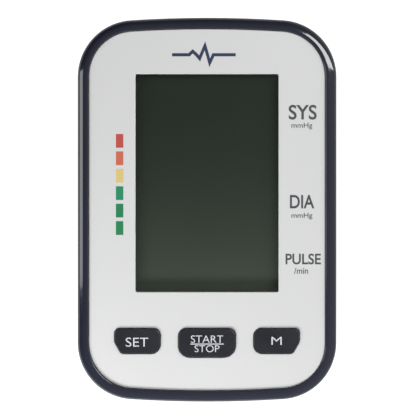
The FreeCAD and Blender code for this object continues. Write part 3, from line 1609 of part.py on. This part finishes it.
def jack_leads():
    """The two leads from the back of the mains jack."""
    routes = []
    for side in (-1, 1):
        y = f"jack_y + {side} * header_length / 3"
        start = ("jack_back_x - lead_gap", y, "jack_level")
        rise = [("jack_header_x", y, "jack_level"), ("jack_header_x", y, "header_level")]
        routes.append(([start, *rise], "lead_bend"))
    return routes


def valve_leads():
    """The two leads from the side of the valve's coil."""
    start_x = "manifold_x - coil_radius - lead_gap"
    routes = []
    for start_y, offset in (("valve_low_y + 2.4", 0.8), ("valve_low_y + 4.8", -0.8)):
        x = f"valve_header_x + {offset}"
        rise = [(x, start_y, "air_level"), (x, start_y, "valve_lead_level")]
        across = [(x, "valve_header_y", "valve_lead_level"), (x, "valve_header_y", "header_level")]
        routes.append(([(start_x, start_y, "air_level"), *rise, *across], "lead_bend"))
    return routes


def leads():
    """Insulated leads to the headers under the board."""
    routes = motor_leads() + battery_leads() + jack_leads() + valve_leads()
    solids = []
    for i, (points, bend) in enumerate(routes):
        path, direction = rounded_path(points, number(bend))
        lead = document.addObject("Part::Feature", f"lead_{i}")
        lead.Shape = swept(path, direction, number("lead_radius"))
        solids.append(lead)
    group("wire_leads", *solids)


def main():
    upper_case()
    face_plate()
    display_window()
    lower_case()
    keys()
    feet()
    display()
    board()
    sensor()
    manifold()
    tubes()
    socket()
    pump()
    valve()
    mains_jack()
    batteries()
    battery_door()
    case_screws()
    leads()
    document.recompute()
    check()
    write()


def check():
    """Stop if an object failed, or a sub-part has no valid solid."""
    failed = [o.Label for o in document.Objects if {"Invalid", "Error"} & set(o.State)]
    for part in SUB_PARTS:
        shape = part.Shape
        if shape.isNull() or not shape.isValid() or not shape.Solids:
            failed.append(part.Label)
    if failed:
        raise SystemExit(f"failed: {sorted(set(failed))}")


def write():
    """Write each sub-part to its own STEP file."""
    os.makedirs("parts", exist_ok=True)
    for part in SUB_PARTS:
        part.Shape.exportStep(f"parts/{part.Label}.step")


main()
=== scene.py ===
import json
import math
from collections import namedtuple

import bpy
from mathutils import Matrix, Vector

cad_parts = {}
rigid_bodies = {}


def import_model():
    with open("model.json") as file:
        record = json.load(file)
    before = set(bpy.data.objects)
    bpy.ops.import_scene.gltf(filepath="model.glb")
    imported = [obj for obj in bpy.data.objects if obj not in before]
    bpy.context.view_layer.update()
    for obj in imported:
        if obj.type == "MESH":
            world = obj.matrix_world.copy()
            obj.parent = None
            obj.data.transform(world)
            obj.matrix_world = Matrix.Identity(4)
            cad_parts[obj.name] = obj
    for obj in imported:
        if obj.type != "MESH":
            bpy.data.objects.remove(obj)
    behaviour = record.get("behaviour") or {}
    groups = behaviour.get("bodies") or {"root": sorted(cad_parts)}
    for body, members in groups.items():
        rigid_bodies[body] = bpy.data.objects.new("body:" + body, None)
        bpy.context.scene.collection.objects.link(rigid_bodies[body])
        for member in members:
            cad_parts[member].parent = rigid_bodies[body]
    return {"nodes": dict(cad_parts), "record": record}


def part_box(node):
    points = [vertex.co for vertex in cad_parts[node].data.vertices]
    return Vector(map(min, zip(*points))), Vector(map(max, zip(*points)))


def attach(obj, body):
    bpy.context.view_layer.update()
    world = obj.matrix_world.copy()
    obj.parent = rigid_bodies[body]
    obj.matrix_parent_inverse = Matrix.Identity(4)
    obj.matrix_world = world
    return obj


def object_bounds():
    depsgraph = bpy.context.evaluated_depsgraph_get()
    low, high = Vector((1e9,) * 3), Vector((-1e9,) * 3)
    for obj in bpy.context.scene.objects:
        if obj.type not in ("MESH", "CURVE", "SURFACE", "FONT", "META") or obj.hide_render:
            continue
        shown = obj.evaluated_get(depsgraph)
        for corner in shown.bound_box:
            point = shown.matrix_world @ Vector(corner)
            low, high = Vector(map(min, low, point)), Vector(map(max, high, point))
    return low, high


# An automatic blood pressure monitor on its back, seen from straight above. Sizes are in metres and lie in
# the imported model's frame: +X to the user's right, +Y to the top of the display, +Z out of the face.

for leftover in list(bpy.data.objects):
    bpy.data.objects.remove(leftover)
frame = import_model()
CAD_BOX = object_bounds()
NODES = frame["nodes"]
MM = 0.001
WHITE = (1.0, 1.0, 1.0)


# Places from the frame -------------------------------------------------------------------------------------


def top(node):
    """The height of a CAD node's top."""
    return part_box(node)[1].z


CASE_TOP = CAD_BOX[1].z
FACE = Vector((0.0, 0.0, CASE_TOP))
PLATE_TOP = top("face_plate")
KEY_TOP = top("set_button")


# Material building -----------------------------------------------------------------------------------------


class Graph:
    """The node tree of a new material or world, emptied, with a few helpers for building it."""

    def __init__(self, owner, output="OutputMaterial"):
        owner.use_nodes = True
        self.owner = owner
        self.tree = owner.node_tree
        self.tree.nodes.clear()
        self.output = self.add(output)

    def add(self, kind, **sockets):
        """Add a node. Sockets are given by name, with spaces as underscores, as a value or another socket."""
        node = self.tree.nodes.new("ShaderNode" + kind)
        for name, value in sockets.items():
            self.put(node.inputs[name.replace("_", " ")], value)
        return node

    def put(self, socket, value):
        """Set a socket to a value, or link another socket to it."""
        if isinstance(value, bpy.types.NodeSocket):
            self.tree.links.new(value, socket)
        elif socket.type == "RGBA":
            socket.default_value = (*value, 1.0) if len(value) == 3 else value
        else:
            socket.default_value = value

    def place(self, stretch=(1, 1, 1)):
        """Object coordinates in metres, stretched by a scale."""
        coordinates = self.add("TexCoord")
        return self.add("Mapping", Vector=coordinates.outputs["Object"], Scale=stretch).outputs[0]

    def along_y(self):
        """How far along its own box in Y a point of the piece is, from 0 to 1."""
        return self.add("SeparateXYZ", Vector=self.add("TexCoord").outputs["Generated"]).outputs["Y"]

    def noise(self, scale, detail=3.0, rough=0.55, stretch=(1, 1, 1)):
        """Noise from 0 to 1, with so many features in a metre."""
        node = self.add("TexNoise", Vector=self.place(stretch), Scale=scale, Detail=detail, Roughness=rough)
        return node.outputs["Fac"]

    def fit(self, value, low, high, start=0.3, end=0.7):
        """Map a value from start..end, which by default is where noise mostly lies, to low..high."""
        node = self.add("MapRange", Value=value)
        for name, number in (("From Min", start), ("From Max", end), ("To Min", low), ("To Max", high)):
            self.put(node.inputs[name], number)
        return node.outputs[0]

    def vary(self, low, high, scale, detail=3.0):
        """Noise spread from low to high, with so many features in a metre."""
        return self.fit(self.noise(scale, detail), low, high)

    def math(self, operation, a, b):
        """Arithmetic on two values."""
        node = self.add("Math")
        node.operation = operation
        self.put(node.inputs[0], a)
        self.put(node.inputs[1], b)
        return node.outputs[0]

    def dot(self, a, b):
        """The dot product of two vectors."""
        node = self.add("VectorMath")
        node.operation = "DOT_PRODUCT"
        self.put(node.inputs[0], a)
        self.put(node.inputs[1], b)
        return node.outputs["Value"]

    def mix(self, amount, a, b, how="MIX"):
        """Mix two colours."""
        node = self.add("MixRGB", Fac=amount)
        node.blend_type = how
        self.put(node.inputs[1], a)
        self.put(node.inputs[2], b)
        return node.outputs[0]

    def choose(self, amount, a, b):
        """Mix two shaders."""
        node = self.add("MixShader", Fac=amount)
        self.put(node.inputs[1], a.outputs[0])
        self.put(node.inputs[2], b.outputs[0])
        return node

    def shaded(self, colour, shade, speckle=None):
        """A colour made lighter or darker by a shade, and by a finer speckle."""
        if speckle:
            shade = self.math("MULTIPLY", shade, speckle)
        grey = self.add("CombineColor", Red=shade, Green=shade, Blue=shade).outputs[0]
        return self.mix(1.0, colour, grey, "MULTIPLY")

    def bump(self, height, strength, distance):
        """A bumped normal from a height."""
        return self.add("Bump", Height=height, Strength=strength, Distance=distance).outputs[0]

    def edges(self, radius):
        """A mask that is 1 on sharp edges and 0 on flat faces."""
        rounded = self.add("Bevel", Radius=radius).outputs[0]
        straight = self.add("NewGeometry").outputs["Normal"]
        return self.fit(self.dot(rounded, straight), 1.0, 0.0, start=0.80, end=0.995)

    def rubbed(self, colour, worn_colour, amount, radius=0.3 * MM):
        """A colour that turns to another, by an amount, on sharp edges."""
        return self.mix(self.math("MULTIPLY", self.edges(radius), amount), colour, worn_colour)

    def finish(self, shader):
        """Wire a shader to the output, and return what the graph belongs to."""
        self.put(self.output.inputs["Surface"], shader.outputs[0])
        return self.owner

    def surface(self, **sockets):
        """A Principled surface, wired to the output."""
        return self.finish(self.add("BsdfPrincipled", **sockets))


def new_graph(name):
    """The graph of a new material."""
    return Graph(bpy.data.materials.new(name))


def moulded(name, colour, roughness, vary=0.06, grain=1400.0, depth=0.02, metal=0.0, worn=0.0):
    """Moulded plastic, rubber or plain metal: uneven colour, fine surface grain and rubbed edges."""
    g = new_graph(name)
    patches = g.vary(1.0 - vary, 1.0 + vary, scale=22.0)
    speckle = g.vary(1.0 - vary / 2, 1.0 + vary / 2, scale=grain * 0.4)
    tint = g.shaded(colour, patches, speckle)
    if worn:
        half_way_to_white = tuple((1.0 + channel) / 2 for channel in colour)
        tint = g.rubbed(tint, half_way_to_white, worn, radius=0.4 * MM)
    gloss = g.vary(roughness * 0.88, roughness * 1.14, scale=60.0, detail=4.0)
    normal = g.bump(g.noise(grain, detail=2.0), depth, distance=0.2 * MM)
    return g.surface(Base_Color=tint, Roughness=gloss, Metallic=metal, Normal=normal)


def brushed(name, colour, roughness):
    """Rolled or drawn metal with fine lines along X."""
    g = new_graph(name)
    lines = g.noise(260.0, detail=4.0, rough=0.7, stretch=(1, 30, 30))
    tint = g.shaded(colour, g.fit(lines, 0.86, 1.08))
    gloss = g.fit(lines, roughness * 0.75, roughness * 1.25)
    normal = g.bump(lines, 0.06, distance=0.1 * MM)
    return g.surface(Base_Color=tint, Roughness=gloss, Metallic=1.0, Normal=normal)


def polished_shell():
    """The upper case: piano-black navy, with faint dust, hairline scratches and rubbed edges."""
    g = new_graph("polished_navy")
    navy, worn_navy, dust_grey = (0.0095, 0.0110, 0.0230), (0.10, 0.11, 0.15), (0.30, 0.30, 0.32)
    tint = g.shaded(navy, g.vary(0.85, 1.15, scale=14.0))
    dust = g.fit(g.noise(2600.0, detail=2.0), 0.0, 1.0, start=0.74, end=0.82)
    dust_cover = 0.12
    tint = g.mix(g.math("MULTIPLY", dust, dust_cover), tint, dust_grey)
    tint = g.rubbed(tint, worn_navy, 0.10)
    scratches = g.noise(500.0, detail=2.0, rough=0.5, stretch=(1, 12, 12))
    gloss = g.fit(scratches, 0.06, 0.13, start=0.35)
    ripple = g.bump(g.noise(90.0, detail=1.0), 0.03, distance=0.3 * MM)
    return g.surface(
        Base_Color=tint, Roughness=gloss, Specular_IOR_Level=0.8, Coat_Weight=0.5, Normal=ripple
    )


def textured_shell():
    """The lower case and battery door: dark spark-eroded plastic."""
    g = new_graph("textured_navy")
    navy, worn_navy = (0.022, 0.024, 0.036), (0.06, 0.065, 0.085)
    tint = g.shaded(navy, g.vary(0.85, 1.15, scale=18.0))
    tint = g.rubbed(tint, worn_navy, 0.25, radius=0.4 * MM)
    cells = g.add("TexVoronoi", Vector=g.place(), Scale=2400.0).outputs["Distance"]
    pits = g.math("ADD", cells, g.noise(3200.0, detail=2.0))
    gloss = g.vary(0.42, 0.58, scale=40.0, detail=4.0)
    return g.surface(Base_Color=tint, Roughness=gloss, Normal=g.bump(pits, 0.25, distance=0.06 * MM))


def silver_panel():
    """The face plate: satin silver-white paint with a very fine pearl in it."""
    g = new_graph("silver_white_paint")
    patches = g.vary(0.985, 1.015, scale=9.0, detail=2.0)
    pearl = g.vary(0.975, 1.025, scale=5200.0, detail=1.0)
    silver, worn_silver = (0.620, 0.622, 0.618), (0.80, 0.80, 0.80)
    tint = g.rubbed(g.shaded(silver, patches, pearl), worn_silver, 0.25)
    gloss = g.vary(0.42, 0.52, scale=3000.0, detail=2.0)
    normal = g.bump(g.noise(4000.0, detail=2.0), 0.05, distance=0.03 * MM)
    return g.surface(Base_Color=tint, Roughness=gloss, Metallic=0.15, Normal=normal)


def clear_window():
    """The lens: light goes straight through it, and its outer faces reflect."""
    g = new_graph("clear_acrylic")
    smudges = g.fit(g.noise(45.0, detail=4.0, rough=0.6), 0.02, 0.09, start=0.35)
    reflecting = g.add("BsdfGlossy", Color=WHITE, Roughness=smudges)
    faint_green = (0.93, 0.945, 0.935)
    through = g.add("BsdfTransparent", Color=faint_green)
    outside = g.math("SUBTRACT", 1.0, g.add("NewGeometry").outputs["Backfacing"])
    amount = g.math("MULTIPLY", g.add("Fresnel", IOR=1.46).outputs[0], outside)
    return g.finish(g.choose(amount, through, reflecting))


def display_film():
    """The dark green-grey polariser with a faint fine grain, its colour carrying painted light: darker at the
    top, paler and greyer towards the keys.
    """
    g = new_graph("display_film")
    # painted light: the film's colour is darker at the top and paler towards the keys, standing in for how
    # the light falls on it
    shaded_top_colour, lit_key_end_colour = (0.012, 0.0175, 0.011), (0.058, 0.069, 0.053)
    squared = 2.0
    painted_light_towards_keys = g.math("POWER", g.math("SUBTRACT", 1.0, g.along_y()), squared)
    patches = g.vary(0.94, 1.06, scale=16.0, detail=2.0)
    fine = g.vary(0.96, 1.04, scale=2200.0, detail=1.0)
    tint = g.shaded(g.mix(painted_light_towards_keys, shaded_top_colour, lit_key_end_colour), patches, fine)
    gloss = g.vary(0.30, 0.42, scale=1500.0, detail=2.0)
    grain = g.bump(g.noise(2500.0, detail=1.0), 0.03, distance=0.03 * MM)
    return g.surface(Base_Color=tint, Roughness=gloss, Specular_IOR_Level=0.2, Normal=grain)


def key_plastic():
    """The keys: satin charcoal with slightly rubbed edges."""
    g = new_graph("key_charcoal")
    charcoal, worn_charcoal = (0.0150, 0.0155, 0.0200), (0.12, 0.12, 0.14)
    tint = g.rubbed(g.shaded(charcoal, g.vary(0.90, 1.10, scale=60.0)), worn_charcoal, 0.30)
    gloss = g.vary(0.26, 0.40, scale=120.0)
    normal = g.bump(g.noise(2200.0, detail=2.0), 0.08, distance=0.05 * MM)
    return g.surface(Base_Color=tint, Roughness=gloss, Normal=normal)


def circuit_board():
    """Green solder mask with paler tracks showing through it."""
    g = new_graph("circuit_board")
    dark_green, green, track_green = (0.012, 0.11, 0.04), (0.02, 0.15, 0.05), (0.05, 0.26, 0.09)
    tracks = g.add("TexBrick", Vector=g.place(), Scale=160.0, Color1=dark_green, Color2=green)
    g.put(tracks.inputs["Mortar"], track_green)
    g.put(tracks.inputs["Mortar Size"], 0.03)
    gloss = g.vary(0.25, 0.45, scale=400.0)
    normal = g.bump(tracks.outputs["Fac"], 0.3, distance=0.04 * MM)
    return g.surface(Base_Color=tracks.outputs["Color"], Roughness=gloss, Normal=normal)


def cell_sleeve():
    """A battery's printed sleeve: a dark body with a copper-coloured band at its positive end."""
    g = new_graph("cell_sleeve")
    band = g.add("ValToRGB", Fac=g.along_y())
    band.color_ramp.interpolation = "CONSTANT"
    body, positive_end = band.color_ramp.elements
    body.color = (0.02, 0.022, 0.026, 1)
    positive_end.position = 0.74
    positive_end.color = (0.45, 0.20, 0.08, 1)
    tint = g.shaded(band.outputs[0], g.vary(0.9, 1.1, scale=200.0))
    normal = g.bump(g.noise(900.0), 0.03, distance=0.1 * MM)
    return g.surface(Base_Color=tint, Roughness=0.35, Metallic=0.4, Normal=normal)


def winding():
    """Enamelled copper wire, wound in even turns round Y, with painted shade darkening the grooves between
    turns.
    """
    g = new_graph("copper_winding")
    wave = g.add("TexWave", Vector=g.place(), Scale=900.0)
    wave.bands_direction = "Y"
    turns = wave.outputs["Fac"]
    # painted shade: the copper is painted darker in the grooves between turns and paler on their crests
    shaded_groove_copper, lit_crest_copper = (0.22, 0.07, 0.02), (0.62, 0.26, 0.10)
    tint = g.mix(turns, shaded_groove_copper, lit_crest_copper)
    gloss = g.fit(g.noise(800.0), 0.25, 0.4, start=0.0, end=1.0)
    normal = g.bump(turns, 0.6, distance=0.1 * MM)
    return g.surface(Base_Color=tint, Roughness=gloss, Metallic=0.9, Normal=normal)


def foam():
    """Open-cell sponge round the pump, with painted shade darkening the hollows of its cells."""
    g = new_graph("foam")
    cells = g.add("TexVoronoi", Vector=g.place(), Scale=1500.0).outputs["Distance"]
    # painted shade: the hollows of the cells are painted darker than their walls
    shaded_hollow_grey, wall_grey = (0.008, 0.008, 0.009), (0.05, 0.05, 0.055)
    tint = g.mix(cells, shaded_hollow_grey, wall_grey)
    return g.surface(Base_Color=tint, Roughness=0.92, Normal=g.bump(cells, 0.8, distance=0.3 * MM))


def ink(name, colour):
    """Screen-printed ink: a slightly uneven film with speckled coverage."""
    g = new_graph(name)
    tint = g.shaded(colour, g.vary(0.93, 1.07, scale=1800.0))
    gloss = g.vary(0.3825, 0.5175, scale=900.0)
    normal = g.bump(g.noise(2600.0), 0.05, distance=0.03 * MM)
    return g.surface(Base_Color=tint, Roughness=gloss, Normal=normal)


MATERIALS = {
    "navy_gloss": polished_shell(),
    "navy_matte": textured_shell(),
    "silver_face": silver_panel(),
    "clear_acrylic": clear_window(),
    "charcoal_keys": key_plastic(),
    "white_silicone": moulded("white_silicone", (0.70, 0.70, 0.67), 0.55),
    "carbon": moulded("carbon_pill", (0.015, 0.015, 0.015), 0.7),
    "lcd_glass": moulded("display_glass", (0.30, 0.34, 0.32), 0.12, vary=0.03, depth=0.005),
    "lcd_film": display_film(),
    "reflector_film": moulded("reflector_film", (0.40, 0.43, 0.37), 0.4, metal=0.6),
    "zebra_rubber": moulded("zebra_rubber", (0.45, 0.18, 0.22), 0.6),
    "frame_plastic": moulded("frame_plastic", (0.045, 0.050, 0.044), 0.5),
    "board_laminate": circuit_board(),
    "component_black": moulded("component_black", (0.018, 0.018, 0.019), 0.45, grain=2600.0, depth=0.1),
    "component_metal": brushed("component_metal", (0.58, 0.58, 0.58), 0.3),
    "capacitor_sleeve": moulded("capacitor_sleeve", (0.03, 0.035, 0.07), 0.3),
    "header_nylon": moulded("header_nylon", (0.62, 0.58, 0.46), 0.5),
    "steel": brushed("zinc_plated_steel", (0.50, 0.50, 0.51), 0.32),
    "nickel": brushed("nickel_plate", (0.66, 0.64, 0.60), 0.22),
    "acetal": moulded("acetal", (0.68, 0.68, 0.65), 0.45),
    "black_rubber": moulded("black_rubber", (0.018, 0.018, 0.019), 0.75, grain=3000.0, depth=0.15),
    "tube_silicone": moulded("tube_silicone", (0.62, 0.62, 0.57), 0.4),
    "copper_winding": winding(),
    "socket_black": moulded("socket_black", (0.014, 0.014, 0.016), 0.32, grain=2200.0, depth=0.05, worn=0.15),
    "cell_wrap": cell_sleeve(),
    "lead_sleeve": moulded("lead_sleeve", (0.30, 0.02, 0.02), 0.4),
}


def dress_nodes():
    """Give every CAD node the material of its slot."""
    for entry in frame["record"]["subparts"]:
        for slot in NODES[entry["node"]].material_slots:
            slot.material = MATERIALS[entry["material_slot"]]
    NODES["pump_cushion"].material_slots[0].material = foam()


# Printed pieces: a word or shape is given in millimetres ---------------------------------------------------

INK_HEIGHT = 0.02 * MM
BOLD, MEDIUM, FINE = 0.018, 0.010, -0.006  # what a letter's outline grows by, in its own units
GREY_INK = ink("label_grey", (0.055, 0.058, 0.065))
NAVY_INK = ink("mark_navy", (0.020, 0.030, 0.075))
PALE_INK = ink("key_lettering", (0.58, 0.58, 0.62))

Word = namedtuple("Word", "name text width height x y")


def new_piece(name, mesh, material, body="monitor"):
    """Link a mesh as a piece that rides on a body."""
    mesh.materials.clear()
    mesh.materials.append(material)
    piece = bpy.data.objects.new(name, mesh)
    bpy.context.scene.collection.objects.link(piece)
    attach(piece, body)
    return piece


def label(word, level, weight, material=GREY_INK, body="monitor"):
    """Print a word as a thin film on a level. The weight thickens or thins its strokes."""
    curve = bpy.data.curves.new(word.name, "FONT")
    curve.body = word.text
    curve.extrude = 0.5
    curve.offset = weight
    curve.resolution_u = 6
    maker = bpy.data.objects.new(word.name + "_maker", curve)
    bpy.context.scene.collection.objects.link(maker)
    bpy.context.view_layer.update()
    mesh = bpy.data.meshes.new_from_object(maker.evaluated_get(bpy.context.evaluated_depsgraph_get()))
    bpy.data.objects.remove(maker)
    corners = [vertex.co for vertex in mesh.vertices]
    low = Vector((min(c.x for c in corners), min(c.y for c in corners), -curve.extrude))
    high = Vector((max(c.x for c in corners), max(c.y for c in corners), curve.extrude))
    size = high - low
    scale = Matrix.Diagonal((word.width * MM / size.x, word.height * MM / size.y, 2 * INK_HEIGHT, 1.0))
    spot = Matrix.Translation((word.x * MM, word.y * MM, level))
    mesh.transform(spot @ scale @ Matrix.Translation(-(low + high) / 2))
    return new_piece(word.name, mesh, material, body)


def film(name, outline, level, material, body="monitor"):
    """A thin film with a closed outline, standing one ink height proud of a level."""
    count = len(outline)
    vertices = [(x * MM, y * MM, level + z) for z in (-INK_HEIGHT, INK_HEIGHT) for x, y in outline]
    sides = [(i, (i + 1) % count, count + (i + 1) % count, count + i) for i in range(count)]
    faces = [tuple(range(count - 1, -1, -1)), tuple(range(count, 2 * count)), *sides]
    mesh = bpy.data.meshes.new(name)
    mesh.from_pydata(vertices, [], faces)
    return new_piece(name, mesh, material, body)


def printed_strip(name, width, height, x, y, level, material, body="monitor"):
    """A printed rectangle about a centre."""
    right, left = x + width / 2, x - width / 2
    high, low = y + height / 2, y - height / 2
    return film(name, [(right, high), (left, high), (left, low), (right, low)], level, material, body)


def face_labels():
    """The words beside the display, each over its unit."""
    words = [
        Word("systolic_label", "SYS", width=10.6, height=5.6, x=36.1, y=36.8),
        Word("diastolic_label", "DIA", width=9.2, height=5.1, x=35.9, y=3.05),
        Word("pulse_label", "PULSE", width=13.3, height=4.1, x=36.3, y=-18.6),
    ]
    units = [
        Word("systolic_unit", "mmHg", width=7.9, height=2.5, x=35.8, y=31.6),
        Word("diastolic_unit", "mmHg", width=7.9, height=2.5, x=35.8, y=-2.4),
        Word("pulse_unit", "/min", width=5.3, height=2.4, x=35.5, y=-23.0),
    ]
    for word, unit in zip(words, units):
        label(word, PLATE_TOP, BOLD)
        label(unit, PLATE_TOP, MEDIUM)


def key_labels():
    """The words on the keys, and the rule between the two words of the middle one."""
    words = [
        ("set_key", Word("set_label", "SET", width=8.5, height=3.4, x=-26.4, y=-49.9)),
        ("start_stop_key", Word("start_label", "START", width=12.2, height=2.8, x=0.0, y=-48.75)),
        ("start_stop_key", Word("stop_label", "STOP", width=9.4, height=2.6, x=0.0, y=-52.35)),
        ("memory_key", Word("memory_label", "M", width=3.9, height=3.0, x=26.2, y=-49.4)),
    ]
    for key, word in words:
        label(word, KEY_TOP, FINE, PALE_INK, key)
    width, height, x, y = 12.6, 0.35, 0.0, -50.6
    printed_strip("start_stop_rule", width, height, x, y, KEY_TOP, PALE_INK, "start_stop_key")


def pressure_scale():
    """The six coloured steps left of the display, from red at the top to green."""
    colours = {
        "scale_red": (0.440, 0.064, 0.053),
        "scale_orange": (0.520, 0.118, 0.070),
        "scale_yellow": (0.600, 0.455, 0.170),
        "scale_high_green": (0.012, 0.215, 0.100),
        "scale_middle_green": (0.011, 0.185, 0.070),
        "scale_low_green": (0.013, 0.190, 0.068),
    }
    width, height, x = 2.8, 5.2, -33.0
    top_step_y, pitch = 26.0, 6.58
    for i, (name, colour) in enumerate(colours.items()):
        printed_strip(name, width, height, x, top_step_y - i * pitch, PLATE_TOP, ink(name, colour))


def pulse_mark():
    """A plain pulse trace above the display: a band of even width along a bent line."""
    centre = Vector((-1.2, 58.5))
    half_width = 0.6
    smallest_cosine = 0.35
    trace = [(-12.0, 0.0), (-5.6, 0.0), (-4.2, 1.3), (-2.8, 0.0), (-1.6, -1.4)]
    trace += [(0.4, 3.4), (2.2, -3.0), (3.6, 0.0), (12.0, 0.0)]
    points = [Vector(point) for point in trace]
    directions = [(end - start).normalized() for start, end in zip(points, points[1:])]
    upper, lower = [], []
    for i, here in enumerate(points):
        before, after = directions[max(i - 1, 0)], directions[min(i, len(directions) - 1)]
        along = (before + after).normalized()
        across = Vector((-along.y, along.x))
        reach = half_width / max(smallest_cosine, across.dot(Vector((-after.y, after.x))))
        upper.append(here + across * reach + centre)
        lower.append(here - across * reach + centre)
    film("pulse_mark", upper[::-1] + lower, PLATE_TOP, NAVY_INK)


# Stage -----------------------------------------------------------------------------------------------------


def towards(azimuth, elevation, distance):
    """A point at a distance from the middle of the face, by its direction in degrees."""
    turn, lift = math.radians(azimuth), math.radians(elevation)
    flat = math.cos(lift)
    return Vector((flat * math.cos(turn), flat * math.sin(turn), math.sin(lift))) * distance + FACE


def floor():
    """A pale floor, open from below and to lamps, so that the underside can be looked at."""
    reach, drop = 3.0, 0.02 * MM
    seen_grey, reflected_grey, glow = (0.35, 0.35, 0.35), (0.42, 0.42, 0.42), 0.90
    mesh = bpy.data.meshes.new("floor")
    corners = [(-reach, -reach, 0), (reach, -reach, 0), (reach, reach, 0), (-reach, reach, 0)]
    mesh.from_pydata(corners, [], [(0, 1, 2, 3)])
    plane = bpy.data.objects.new("floor", mesh)
    bpy.context.scene.collection.objects.link(plane)
    plane.location.z = -drop
    g = new_graph("pale_floor")
    paths = g.add("LightPath")
    seen = g.add("AddShader")
    g.put(seen.inputs[0], g.add("BsdfDiffuse", Color=seen_grey).outputs[0])
    g.put(seen.inputs[1], g.add("Emission", Color=WHITE, Strength=glow).outputs[0])
    reflected = g.add("BsdfDiffuse", Color=reflected_grey)
    lit = g.choose(paths.outputs["Is Camera Ray"], reflected, seen)
    below = g.add("NewGeometry").outputs["Backfacing"]
    opened = g.math("MAXIMUM", below, paths.outputs["Is Shadow Ray"])
    mesh.materials.append(g.finish(g.choose(opened, lit, g.add("BsdfTransparent"))))


def world():
    """White to the camera. To the object, a dim grey that is lighter towards the keys' end and the right."""
    bright_side, cool_white = (0.75, -0.66, 0.0), (0.96, 0.98, 1.0)
    dimmest, brightest, seen = 0.02, 0.44, 1.0
    g = Graph(bpy.data.worlds.new("studio"), "OutputWorld")
    side = g.dot(g.add("TexCoord").outputs["Generated"], bright_side)
    dim = g.fit(side, dimmest, brightest, start=-1.0, end=1.0)
    strength = g.fit(g.add("LightPath").outputs["Is Camera Ray"], dim, seen, start=0.0, end=1.0)
    background = g.add("Background", Color=cool_white, Strength=strength)
    bpy.context.scene.world = g.finish(background)


def glowing_panel(name, corners, distance, strength):
    """A flat light whose corners lie in given directions, by azimuth and elevation, at a distance."""
    mesh = bpy.data.meshes.new(name)
    mesh.from_pydata([towards(*corner, distance) for corner in corners], [], [range(len(corners))])
    panel = bpy.data.objects.new(name, mesh)
    bpy.context.scene.collection.objects.link(panel)
    g = new_graph(name)
    mesh.materials.append(g.finish(g.add("Emission", Color=WHITE, Strength=strength)))
    panel.visible_camera = False


def soft_light(name, place, aim, size, power, along=(1, 0, 0)):
    """A rectangular area light at a place, aimed at a point, its first side along a direction."""
    lamp = bpy.data.lights.new(name, "AREA")
    lamp.shape = "RECTANGLE"
    lamp.size, lamp.size_y = size
    lamp.energy = power
    light = bpy.data.objects.new(name, lamp)
    back = (Vector(place) - Vector(aim)).normalized()
    across = Vector(along)
    across = (across - back * across.dot(back)).normalized()
    up = back.cross(across)
    light.matrix_world = Matrix.Translation(place) @ Matrix((across, up, back)).transposed().to_4x4()
    bpy.context.scene.collection.objects.link(light)
    return light


def lights():
    """A panel at the upper right, a softbox at the left, an unreflected fill near the keys, a lamp below."""
    panel_corners = [(13.5, 6), (29.3, 68), (63, 73), (58, 51)]
    glowing_panel("key_panel", panel_corners, distance=0.9, strength=7.4)
    left, left_aim = (-0.46, 0.042, 0.22), (0, 0.042, CASE_TOP)
    soft_light("left_softbox", left, left_aim, size=(0.19, 0.40), power=0.56, along=(0, 1, 0))
    near_keys = (-0.14, -0.30, 0.25)
    fill = soft_light("keys_end_light", near_keys, FACE, size=(0.30, 0.10), power=1.75)
    fill.visible_glossy = False
    below, middle = (0, 0, -0.8), (0, 0, 0)
    soft_light("under_light", below, middle, size=(1.2, 1.2), power=12.0)


# Camera ----------------------------------------------------------------------------------------------------


def camera():
    """Straight above the face, a little off its middle. The view has its width at the bezel's height."""
    lens, sensor = 135.0, 36.0
    view_width, bezel_drop = 157.45 * MM, 4 * MM
    right_of_middle, above_middle = 0.17 * MM, 0.85 * MM
    height = CASE_TOP - bezel_drop + view_width * lens / sensor
    data = bpy.data.cameras.new("camera")
    data.lens = lens
    data.sensor_width = sensor
    eye = bpy.data.objects.new("camera", data)
    eye.location = (right_of_middle, above_middle, height)
    bpy.context.scene.collection.objects.link(eye)
    bpy.context.scene.camera = eye


bpy.context.scene.view_settings.view_transform = "Standard"
camera()
dress_nodes()
face_labels()
key_labels()
pressure_scale()
pulse_mark()
floor()
world()
lights()
